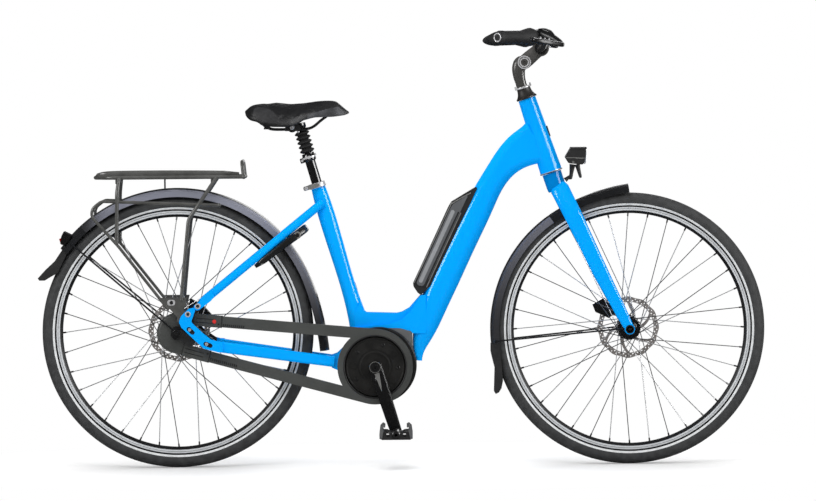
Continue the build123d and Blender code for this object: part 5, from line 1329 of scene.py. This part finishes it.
def fenders():
    """Rear and front fender with their wire stays; the rear one also stands on a short post under the
    carrier."""
    crown, outward = fender_line(REAR_HUB, REAR_FENDER_EDGE, REAR_FENDER_EDGE, 0, 20, 144, 156)
    shells = [fender_shell(crown[:141], outward[:141]), fender_shell(crown[140:], outward[140:], False)]
    crown, outward = fender_line(REAR_HUB, REAR_FENDER_EDGE, 2 * REAR_FENDER_EDGE, 20, 6.0, 20, 30)
    shells.append(fender_shell(crown[10:], outward[10:]))
    shells.append(fender_shell(crown[:11], outward[:11], False))
    post = REAR_HUB + np.array([-30.0, 0.0, REAR_FENDER_EDGE - 4.0])
    shells.append(turned(disc_profile(2.2, 0.0, 34.0, 0.8), post, (0, 0, 1), 20, 0, False))
    for flank in (-1, 1):
        start = REAR_HUB + np.array([2.0, flank * (PLATE_FACE + 1.0), -1.0])
        end = around(REAR_HUB, REAR_FENDER_EDGE - 16, REAR_STAY_TURN, flank * FENDER_HALF)
        shells.append(tube([start, end], 2.4, sides=10))
        shells.append(turned(
            disc_profile(11.0, 0, 2.6, 0.8), REAR_HUB + (0, flank * PLATE_FACE, 0), (0, flank, 0), 28, 0,
            False
        ))
        shells.append(bolt(end, 4.0, 2.4, (0, flank, 0), 0))
    piece("rear_fender_shell", "frame", shells, [FENDER_BLACK, FENDER_PAINTED_SHEEN], ("rear_fender",), sharp=28)
    crown, outward = fender_line(FRONT_HUB, FRONT_FENDER_EDGE, FRONT_FENDER_EDGE, 0, 125, 186, 84)
    shells = [fender_shell(crown, outward)]
    crown, outward = fender_line(FRONT_HUB, FRONT_FENDER_EDGE, FRONT_FENDER_EDGE + 120, 125, 98.3, 125, 44)
    shells.append(fender_shell(crown, outward, False))
    for flank in (-1, 1):
        start = FRONT_HUB + np.array([-13.0, flank * 57.0, 2.0])
        end = around(FRONT_HUB, FRONT_FENDER_EDGE - 14, FRONT_STAY_TURN, flank * FENDER_HALF)
        shells.append(tube([start, end], 2.2, sides=10))
        shells.append(bolt(end, 4.4, 2.4, (0, flank, 0), 0))
    piece("front_fender_shell", "steering", shells, [FENDER_BLACK, FENDER_PAINTED_SHEEN], ("front_fender",), sharp=28)


# ---- rear triangle -----------------------------------------------------------------------------------------
def dropout_faces():
    """Painted outer plates of the dropouts with two long slots, dark inserts and bright bolts, and the bolts
    of the short links and the carrier's gussets."""
    outline = [
        (31, 63), (12, 45), (6, 30), (12, 16), (26, 2), (50, -21), (69, -39), (106, -49), (118, -49),
        (118, -22), (104, -21), (88, -16), (69, -1), (50, 17), (37, 29), (42, 42), (48, 58), (46, 67)
    ]
    radii = [7, 9, 10, 12, 14, 14, 12, 6, 4, 4, 8, 10, 12, 12, 9, 9, 8, 6]
    outline = rounded(outline, radii)
    slots, bolts = [], []
    for x, z, turn in ((36.2, 6.6, -43), (80.2, -29.4, -22)):
        turn = math.radians(turn)
        along, over = np.array([math.cos(turn), math.sin(turn)]), np.array([-math.sin(turn), math.cos(turn)])
        corners = [
            np.array([x, z]) + along * a + over * b for a,
            b in ((-12, -5.7), (12, -5.7), (12, 5.7), (-12, 5.7))
        ]
        slots.append(rounded(corners, 5.4))
        bolts += [(x - along[0] * 4, z - along[1] * 4, 4.6)]
    shells = []
    for flank in (-1, 1):
        low, high = (PLATE_OUTER, PLATE_OUTER + 5.5) if flank < 0 else (-PLATE_OUTER - 5.5, -PLATE_OUTER)
        shells.append(plate(outline, low, high, slots, REAR_HUB))
        back = PLATE_OUTER + 1.2 if flank < 0 else -PLATE_OUTER - 1.4
        for slot in slots:
            shells.append(plate(slot, back, back + 0.2, (), REAR_HUB, slot=1))
        face = flank * (PLATE_OUTER + 1.4)
        for x, z, size in bolts:
            shells.append(bolt(REAR_HUB + (x, face, z), size, 4.2, (0, flank, 0), 2))
        low, high = (PLATE_OUTER + 4, PLATE_OUTER + 8) if flank < 0 else (-PLATE_OUTER - 8, -PLATE_OUTER - 4)
        stay = [(45, 66), (50, 59), (58, 60), (90, 84), (98, 96), (92, 108), (82, 106), (52, 76), (45, 72)]
        shells.append(plate(rounded(stay, [4, 6, 5, 6, 8, 8, 6, 5, 4]), low, high, (), REAR_HUB))
        for x, z, face in ((29.5, 49.5, PLATE_OUTER + 5.5), (55.0, 70.0, PLATE_OUTER + 8.0)):
            ring = REAR_HUB + (x, flank * face, z)
            shells.append(turned(
                [(4.2, -1), (7.4, -1), (7.4, 1.4), (6.6, 2.2), (4.2, 2.2)], ring, (0, flank, 0), 28, 2
            ))
            shells.append(turned(disc_profile(4.3, -1, 1.2, 0.4), ring, (0, flank, 0), 20, 1, False))
        oval = rounded([(-23, 72), (-3, 72), (-3, 87), (-23, 87)], 6.5)
        shells.append(plate(oval, low + 0.2, high - 3.6 if flank < 0 else high + 0.4, (), REAR_HUB, slot=2))
        shells.append(bolt(REAR_HUB + (-12.6, flank * (PLATE_OUTER + 4.4), 79.5), 4.6, 2.4, (0, flank, 0), 1))
    block = [(-1, 7), (12, 9), (40, -11), (44, -20), (40, -32), (29, -34), (12, -20), (1, -13)]
    shells.append(plate(rounded(block, 3.5), 64.0, 78.0, (), REAR_HUB, slot=1))
    piece("dropout_plates", "frame", shells, [BLUE_PAINT, BLACK_PLASTIC, BRIGHT_STEEL], bevel=0.9)


def frame_lock():
    """Horseshoe lock: a rounded bar carried round the tyre on a U, with two capped discs and two thin
    strips on its drive side."""
    rear, front = REAR_HUB + np.array([200.0, 0.0, 172.0]), REAR_HUB + np.array([318.0, 0.0, 260.0])
    corners = [
        rear + (0, -47, 0), rear * 0.35 + front * 0.65 + np.array([0, -48, 0]), front + (0, -30, 0), front
    ]
    line = corners + [point * (1, -1, 1) for point in corners[-2::-1]]
    rows = curve(line, 72)
    size = np.interp(np.abs(np.linspace(-1, 1, 72)), (0, 0.5, 0.92, 1.0), (1.0, 0.96, 0.82, 0.42))
    along = unit(front - rear)
    over = np.array([-along[2], 0, along[0]])
    shells = [carried(rows - over * 4.0, [squircle(10.5 * s, 16.5 * s, 0.55) for s in size], over)]
    for place, radius in ((0.30, 7.5), (0.92, 9.5)):
        at = rear + (front - rear) * place + (0, -52.5, 0) - over * 5.0
        shells.append(turned(disc_profile(radius, 0, 3.2, 1.2), at, FACING_RIGHT, 28, 1, False))
        shells.append(turned(disc_profile(radius * 0.55, 3.2, 4.4, 0.6), at, FACING_RIGHT, 24, 0, False))
    for lift in (-9.0, -1.0):
        strip = [rear + (front - rear) * share + over * lift + (0, -58.0, 0) for share in (0.1, 0.4, 0.74)]
        shells.append(tube(curve(strip, 14), 1.3, sides=8, slot=1))
    piece("ring_lock_body", "frame", shells, [BLACK_METAL, LEVER_GREY], ("ring_lock",), sharp=40)


# ---- front end ---------------------------------------------------------------------------------------------
def fork():
    """Round crown under the head tube, in a darker blue that is painted shade, and two blades that swell, sweep
    outwards and taper to the axle, each with a ring and a black cap at its end."""
    crown = [(14.4, -48), (22.8, -48), (24.0, -45), (24.8, -38), (25.2, -1.0), (14.4, -1.0)]
    # The crown is in the darker blue: painted shade under the head tube.
    shells = [turned(crown, STEER_FOOT, STEER_UP, 56, 2)]
    foot = FRONT_HUB - STEER_FOOT
    for flank in (-1, 1):
        places = [
            (0.085, 10), (0.12, 20), (0.17, 30), (0.26, 41), (0.42, 48), (0.6, 52), (0.8, 54), (1.0, 55)
        ]
        bow = np.interp([share for share, _ in places], (0, 0.3, 0.6, 1.0), (0.0, 0.0, -1.5, 0.0))
        line = [
            STEER_FOOT + foot * share + STEER_AHEAD * b + (0, flank * side, 0) for (share, side),
            b in zip(places, bow)
        ]
        rows = curve(line, 60)
        share = np.linspace(0, 1, 60)
        deep = np.interp(
            share, (0, 0.1, 0.28, 0.44, 0.72, 0.92, 1.0), (20, 24.2, 23.6, 23.2, 19.8, 15.4, 12.4)
        )
        wide = np.interp(share, (0, 0.1, 0.3, 0.7, 1.0), (12, 14, 13.0, 9.5, 6.6))
        shells.append(carried(rows, [squircle(w, d, 0.88) for w, d in zip(wide, deep)]))
        hub = FRONT_HUB + (0, flank * 50.0, 0)
        shells.append(turned(
            [(7, 0), (12.6, 0), (13.4, 1), (13.4, 11), (12.4, 12), (9.4, 12), (9.4, 9.4), (7, 9.4)], hub,
            (0, flank, 0), 40
        ))
        shells.append(turned(disc_profile(9.2, 8.0, 14.0, 1.4), hub, (0, flank, 0), 32, 1, False))
        shells.append(turned(disc_profile(4.2, 14.0, 15.0, 0.6), hub, (0, flank, 0), 20, 1, False))
    piece("fork_blades", "steering", shells, [BLUE_PAINT, BLACK_METAL, BLUE_PAINTED_SHADE], ("fork",), sharp=45)


def head_rings():
    """Thin dark ring at the head tube's lower end with a bright ring above it that is a painted highlight, and
    a small cable port on its front.
    """
    shells = [turned([(28.7, 0.4), (29.9, 0.4), (29.9, 2.0), (28.7, 2.0)], STEER_FOOT, STEER_UP, 64, 0)]
    # Bright ring: painted highlight along the head tube's lower edge.
    shells.append(turned([(28.7, 2.0), (29.7, 2.0), (29.7, 3.6), (28.7, 3.6)], STEER_FOOT, STEER_UP, 64, 1))
    port = STEER_FOOT + STEER_UP * 104.0 + STEER_AHEAD * 25.4 + (0, -6.0, 0)
    outline = rounded([(-14, -4), (14, -4), (14, 4), (-14, 4)], 3.8)
    shells.append(plate(outline, -2.0, 1.6, (), port, STEER_UP, (0, 1, 0), slot=0))
    piece("head_tube_rings", "frame", shells, [BLACK_PLASTIC, BRIGHT_STEEL], bevel=0.4)


def head_lamp():
    """Faceted shell with a brow, a round lens in front, a rubber boot and a curved bracket."""
    top = HEAD_TOP
    outline = [(110, -128), (151, -128), (149, -146), (144, -171), (106, -167), (96, -151)]
    radii = [4, 3, 3, 6, 5, 5]
    shells = [plate(rounded(outline, radii), -25.0, 25.0, (), top)]
    brow = [(108, -125.5), (152.5, -125.5), (152, -131), (112, -131)]
    shells.append(plate(rounded(brow, 1.8), -26.5, 26.5, (), top))
    seam = [(99, -151), (146, -153), (145.5, -155.4), (100, -153.6)]
    shells.append(plate(rounded(seam, 0.8), -25.6, 25.6, (), top, slot=2))
    facing = unit(np.array([1.0, 0.0, -0.09]))
    lens = top + np.array([146.0, 0.0, -150.0])
    shells.append(turned(
        [(0, 0), (15, 0), (18.5, 2), (19.5, 4), (18, 5), (10, 6.6), (0, 7.2)], lens, facing, 44, 1, False
    ))
    arm = [
        STEER_FOOT + STEER_UP * -30 + STEER_AHEAD * 27, STEER_FOOT + STEER_UP * -26 + STEER_AHEAD * 39,
        top + np.array([111.0, 0.0, -203.0]), top + np.array([116.0, 0.0, -170.0])
    ]
    shells.append(tube(
        curve(arm, 30), np.interp(np.linspace(0, 1, 30), (0, 0.2, 0.8, 1.0), (6.5, 4.4, 5.0, 8.0)), sides=18
    ))
    boot = [
        top + np.array([128.0, 0.0, -170.0]), top + np.array([132.0, 0.0, -186.0]),
        top + np.array([137.0, 0.0, -205.0])
    ]
    size = np.interp(np.linspace(0, 1, 20), (0, 0.3, 0.9, 1.0), (7.5, 5.6, 4.0, 2.6))
    shells.append(tube(curve(boot, 20), size, sides=18))
    shells.append(bolt(top + np.array([117.0, -25.0, -164.0]), 3.2, 1.6, slot=2))
    piece(
        "headlamp_body", "steering", shells, [BLACK_PLASTIC, LAMP_GLASS, LEVER_GREY], ("headlamp",), bevel=1.0
    )


def tail_lamp_trim():
    """Red lens on the rear lamp's back."""
    low, high = around(REAR_HUB, REAR_FENDER_EDGE + 2, 141.9), around(REAR_HUB, REAR_FENDER_EDGE + 15, 140.6)
    middle, up = (low + high) / 2, unit(high - low)
    outline = rounded([(-24, -7), (24, -7), (24, 7), (-24, 7)], 5.5)
    shells = [plate(outline, -4.5, 2.0, (), middle, np.array([0.0, 1.0, 0.0]), up)]
    piece("tail_lens", "frame", shells, [LAMP_RED], bevel=1.2)


# ---- battery and carrier -----------------------------------------------------------------------------------
def battery_case():
    """Dark tray, a grey shell inset from it, three strips along its sides and a grey bead round each edge. The
    widest, palest strip is a painted highlight, and the dark tray showing beside the down tube is painted shade
    for the gap between battery and frame.
    """
    outer = [
        (257, 455), (200, 421), (192, 408), (118.6, 252), (99, 211), (101, 203), (111, 188), (119, 182),
        (150, 210), (250, 420), (268, 462)
    ]
    tray = rounded(outer, [6, 12, 12, 20, 8, 5, 5, 4, 8, 12, 4])
    # The tray's dark edge beside the down tube is painted shade for the gap there.
    shells = [plate(tray, -27.5, 27.5, (), BRACKET)]
    shell = [
        (246, 441), (204, 416), (197, 405), (124, 250), (108, 214), (112, 207), (124, 205), (141, 224),
        (236, 424)
    ]
    shells.append(plate(rounded(shell, [8, 10, 10, 16, 6, 4, 6, 10, 8]), -29.6, 29.6, (), BRACKET, slot=1))
    foot, head = np.array([99.0, 211.0]), np.array([192.0, 408.0])
    length = 218
    along = unit(head - foot)
    over = np.array([along[1], -along[0]])
    # The first strip, in the pale finish, is the painted highlight.
    for start, stop, near, far, slot, proud in (
        (0.05, 0.99, 10.0, 20.0, 3, 30.0), (0.03, 1.0, 34.0, 36.5, 2, 30.2), (0.02, 1.0, 27.0, 31.0, 0, 30.1)
    ):
        ends = [foot + along * length * share + over * side for share, side in
                ((start, near), (stop, near), (stop, far), (start, far))]
        shells.append(plate(rounded(ends, (far - near) * 0.45), -proud, proud, (), BRACKET, slot=slot))
    rim = curve(
        np.array([(102, 0, 214), (121, 0, 253), (194, 0, 405), (203, 0, 418), (250, 0, 444)], float), 60
    ) + BRACKET
    for flank in (-1, 1):
        shells.append(tube(rim + (0, flank * 27.5, 0), 1.5, sides=10, slot=2))
    piece(
        "battery_shell", "frame", shells, [BLACK_PLASTIC, BATTERY_CASE, LEVER_GREY, BATTERY_PAINTED_HIGHLIGHT],
        ("battery",), bevel=2.2
    )


def carrier_trim():
    """Upper rails with tapered tails, thin wires inside them, feet and slats on the carrier's platform."""
    top = laid_out(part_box("rear_rack")[1])[2] - 39.0
    shells = []
    for flank in (-1, 1):
        line = np.array(
            [
                (x, flank * y, top + z) for x, y,
                z in ((-210, 20, -4), (-176, 46, 3), (-60, 48, 4), (60, 47, 3), (160, 45, 1))
            ]
        )
        rows = curve(line, 60)
        size = np.interp(np.linspace(0, 1, 60), (0, 0.12, 0.9, 1.0), (0.35, 1.0, 1.0, 0.6))
        shells.append(carried(rows, [squircle(4.2 * s, 8.4 * s, 0.7) for s in size]))
        inner = rows * (1, 0.42, 1) + (0, 0, 5.0)
        shells.append(tube(inner[6:-4], 2.0, sides=10, slot=1))
        for x in (-150.0, 95.0):
            shells.append(turned(
                disc_profile(5.0, -20, -4, 1.0), (x, flank * 47, top), (0, 0, 1), 24, 0, False
            ))
    for x in (-150.0, -92.0, -34.0, 24.0, 82.0, 136.0):
        slat = rounded([(-50, -2.6), (50, -2.6), (50, 2.6), (-50, 2.6)], 2.2)
        shells.append(plate(slat, -6.0, 6.0, (), (x, 0.0, top + 4.5), (0, 1, 0), (0, 0, 1), slot=0))
    piece("carrier_top", "frame", shells, [RACK_COAT, BRIGHT_STEEL], bevel=0.8)


fenders()
dropout_faces()
frame_lock()
fork()
head_rings()
head_lamp()
tail_lamp_trim()
battery_case()
carrier_trim()


# ---- stage, light and camera -------------------------------------------------------------------------------
MIDDLE = 0.5 * (REAR_HUB + FRONT_HUB) + np.array([13.5, 0.0, 205.0])
CAMERA_DISTANCE = 12000.0
CAMERA_HEIGHT = 1000.0
CAMERA_LENS = 205.4
CAMERA_ROLL = math.radians(-0.5)
SKY_LIGHT = 0.55
SKY_GLOSS = 0.05
FLOOR_GLOW = 0.14
FLOOR_GLOSS = 0.06
WHITE_FADE = (1.5, 0.75)
# Size and depth of the painted shadow under each wheel.
PAINTED_SHADOW_SIZE = (0.5, 0.62)
PAINTED_SHADOW_DARK = 0.68


def stage():
    """Wide pale floor that fades to plain white away from the bicycle, with a soft painted shadow drawn in its
    material under each wheel."""
    low, reach = CAD_BOX[0][2], 40.0
    corners = [(-reach, -reach, low), (reach, -reach, low), (reach, reach, low), (-reach, reach, low)]
    mesh = bpy.data.meshes.new("floor")
    mesh.from_pydata(corners, [], [(0, 1, 2, 3)])
    floor = bpy.data.objects.new("floor", mesh)
    bpy.context.scene.collection.objects.link(floor)
    material = bpy.data.materials.new("floor_white")
    material.use_nodes = True
    tree = material.node_tree
    tree.nodes.clear()
    out = tree.nodes.new("ShaderNodeOutputMaterial")
    matt = socket_node(tree, "ShaderNodeBsdfDiffuse", Color=(0.9, 0.9, 0.9, 1.0))
    glow, white, gloss = (
        socket_node(tree, "ShaderNodeEmission", Color=(1.0, 1.0, 1.0, 1.0), Strength=strength)
        for strength in (FLOOR_GLOW, 1.0, FLOOR_GLOSS)
    )
    both = tree.nodes.new("ShaderNodeAddShader")
    near, shown, pick = (tree.nodes.new("ShaderNodeMixShader") for _ in range(3))
    path, place = tree.nodes.new("ShaderNodeLightPath"), tree.nodes.new("ShaderNodeTexCoord")

    def pool(spot, size, start, stop, dark):
        """Ellipse about a spot on the floor, from dark inside start to 1 outside stop, as shares of its half
        sizes."""
        away, scaled = tree.nodes.new("ShaderNodeVectorMath"), tree.nodes.new("ShaderNodeVectorMath")
        length = tree.nodes.new("ShaderNodeVectorMath")
        away.operation, scaled.operation, length.operation = "SUBTRACT", "DIVIDE", "LENGTH"
        away.inputs[1].default_value = (*laid(spot)[:2], low)
        scaled.inputs[1].default_value = (*size, 1.0)
        edge = socket_node(
            tree, "ShaderNodeMapRange", **{"From Min": start, "From Max": stop, "To Min": dark}
        )
        edge.interpolation_type = "SMOOTHSTEP"
        tree.links.new(place.outputs["Object"], away.inputs[0])
        tree.links.new(away.outputs[0], scaled.inputs[0])
        tree.links.new(scaled.outputs[0], length.inputs[0])
        tree.links.new(length.outputs["Value"], edge.inputs["Value"])
        return edge

    fade = pool(MIDDLE, WHITE_FADE, 0.45, 1.0, 0.0)
    shade = tree.nodes.new("ShaderNodeMath")
    shade.operation = "MULTIPLY"
    painted_shadow_tone = tree.nodes.new("ShaderNodeMix")
    painted_shadow_tone.data_type = "RGBA"
    painted_shadow_tone.inputs["A"].default_value = (0.0, 0.0, 0.0, 1.0)
    painted_shadow_tone.inputs["B"].default_value = (0.9, 0.9, 0.9, 1.0)
    # Painted shadow: the floor's colour darkens in an ellipse under each wheel.
    for index, hub in enumerate((REAR_HUB, FRONT_HUB)):
        tree.links.new(pool(hub, PAINTED_SHADOW_SIZE, 0.0, 1.0, PAINTED_SHADOW_DARK).outputs["Result"], shade.inputs[index])
    tree.links.new(shade.outputs[0], painted_shadow_tone.inputs["Factor"])
    tree.links.new(painted_shadow_tone.outputs["Result"], matt.inputs["Color"])
    for start, end in (
        (matt.outputs[0], both.inputs[0]),
        (glow.outputs[0], both.inputs[1]),
        (fade.outputs["Result"], near.inputs[0]),
        (both.outputs[0], near.inputs[1]),
        (white.outputs[0], near.inputs[2]),
        (path.outputs["Is Glossy Ray"], shown.inputs[0]),
        (matt.outputs[0], shown.inputs[1]),
        (gloss.outputs[0], shown.inputs[2]),
        (path.outputs["Is Camera Ray"], pick.inputs[0]),
        (shown.outputs[0], pick.inputs[1]),
        (near.outputs[0], pick.inputs[2]),
        (pick.outputs[0], out.inputs["Surface"]),
    ):
        tree.links.new(start, end)
    mesh.materials.append(material)


def world():
    """Even light, white where the camera sees it and dim where shiny surfaces do, so blacks stay deep."""
    sky = bpy.data.worlds.new("studio")
    bpy.context.scene.world = sky
    sky.use_nodes = True
    sky.cycles.sampling_method = "NONE"
    tree = sky.node_tree
    tree.nodes.clear()
    out = tree.nodes.new("ShaderNodeOutputWorld")
    light, shown, gloss = (
        socket_node(tree, "ShaderNodeBackground", Color=(1.0, 1.0, 1.0, 1.0), Strength=strength)
        for strength in (SKY_LIGHT, 1.0, SKY_GLOSS)
    )
    path = tree.nodes.new("ShaderNodeLightPath")
    first, second = (tree.nodes.new("ShaderNodeMixShader") for _ in range(2))
    tree.links.new(path.outputs["Is Glossy Ray"], first.inputs[0])
    tree.links.new(light.outputs[0], first.inputs[1])
    tree.links.new(gloss.outputs[0], first.inputs[2])
    tree.links.new(path.outputs["Is Camera Ray"], second.inputs[0])
    tree.links.new(first.outputs[0], second.inputs[1])
    tree.links.new(shown.outputs[0], second.inputs[2])
    tree.links.new(second.outputs[0], out.inputs["Surface"])


def lamp(name, place, target, size, power, matt=True, shiny=True):
    """Square area lamp that points at a target, places in layout millimetres. It can light matt surfaces
    only, or show in shiny ones only, as a studio's strip lights do."""
    light = bpy.data.lights.new(name, "AREA")
    light.shape = "SQUARE"
    light.size = size
    light.energy = power
    thing = bpy.data.objects.new(name, light)
    bpy.context.scene.collection.objects.link(thing)
    spot, aim = Vector(laid(place)), Vector(laid(target))
    thing.location = spot
    thing.rotation_euler = (aim - spot).to_track_quat("-Z", "Y").to_euler()
    thing.visible_diffuse, thing.visible_glossy, thing.visible_camera = matt, shiny, False
    return thing


def camera():
    """Long lens at right angles to the bicycle, a little above its middle and looking slightly down."""
    view = bpy.data.cameras.new("camera")
    view.lens = CAMERA_LENS
    view.sensor_width = 36.0
    thing = bpy.data.objects.new("camera", view)
    bpy.context.scene.collection.objects.link(thing)
    spot = Vector(laid((MIDDLE[0], -CAMERA_DISTANCE, CAMERA_HEIGHT)))
    aim = Vector(laid(MIDDLE))
    look = (aim - spot).to_track_quat("-Z", "Y").to_matrix()
    thing.matrix_world = Matrix.Translation(spot) @ (look @ Matrix.Rotation(CAMERA_ROLL, 3, "Z")).to_4x4()
    bpy.context.scene.camera = thing


stage()
world()
camera()
lamp("key", (MIDDLE[0] - 600, -2200, 3000), MIDDLE, 2.2, 58.0, shiny=False)
lamp("top", (MIDDLE[0], 200, 3200), MIDDLE, 3.0, 54.0, shiny=False)
lamp("left", (MIDDLE[0] + 900, 2400, 1500), MIDDLE, 2.0, 30.0)
lamp("strip_ahead", (MIDDLE[0] + 2900, -1500, 1500), MIDDLE, 1.5, 95.0, matt=False)
lamp("strip_behind", (MIDDLE[0] - 2900, -1800, 1700), MIDDLE, 1.2, 62.0, matt=False)
bpy.context.scene.view_settings.view_transform = "Standard"
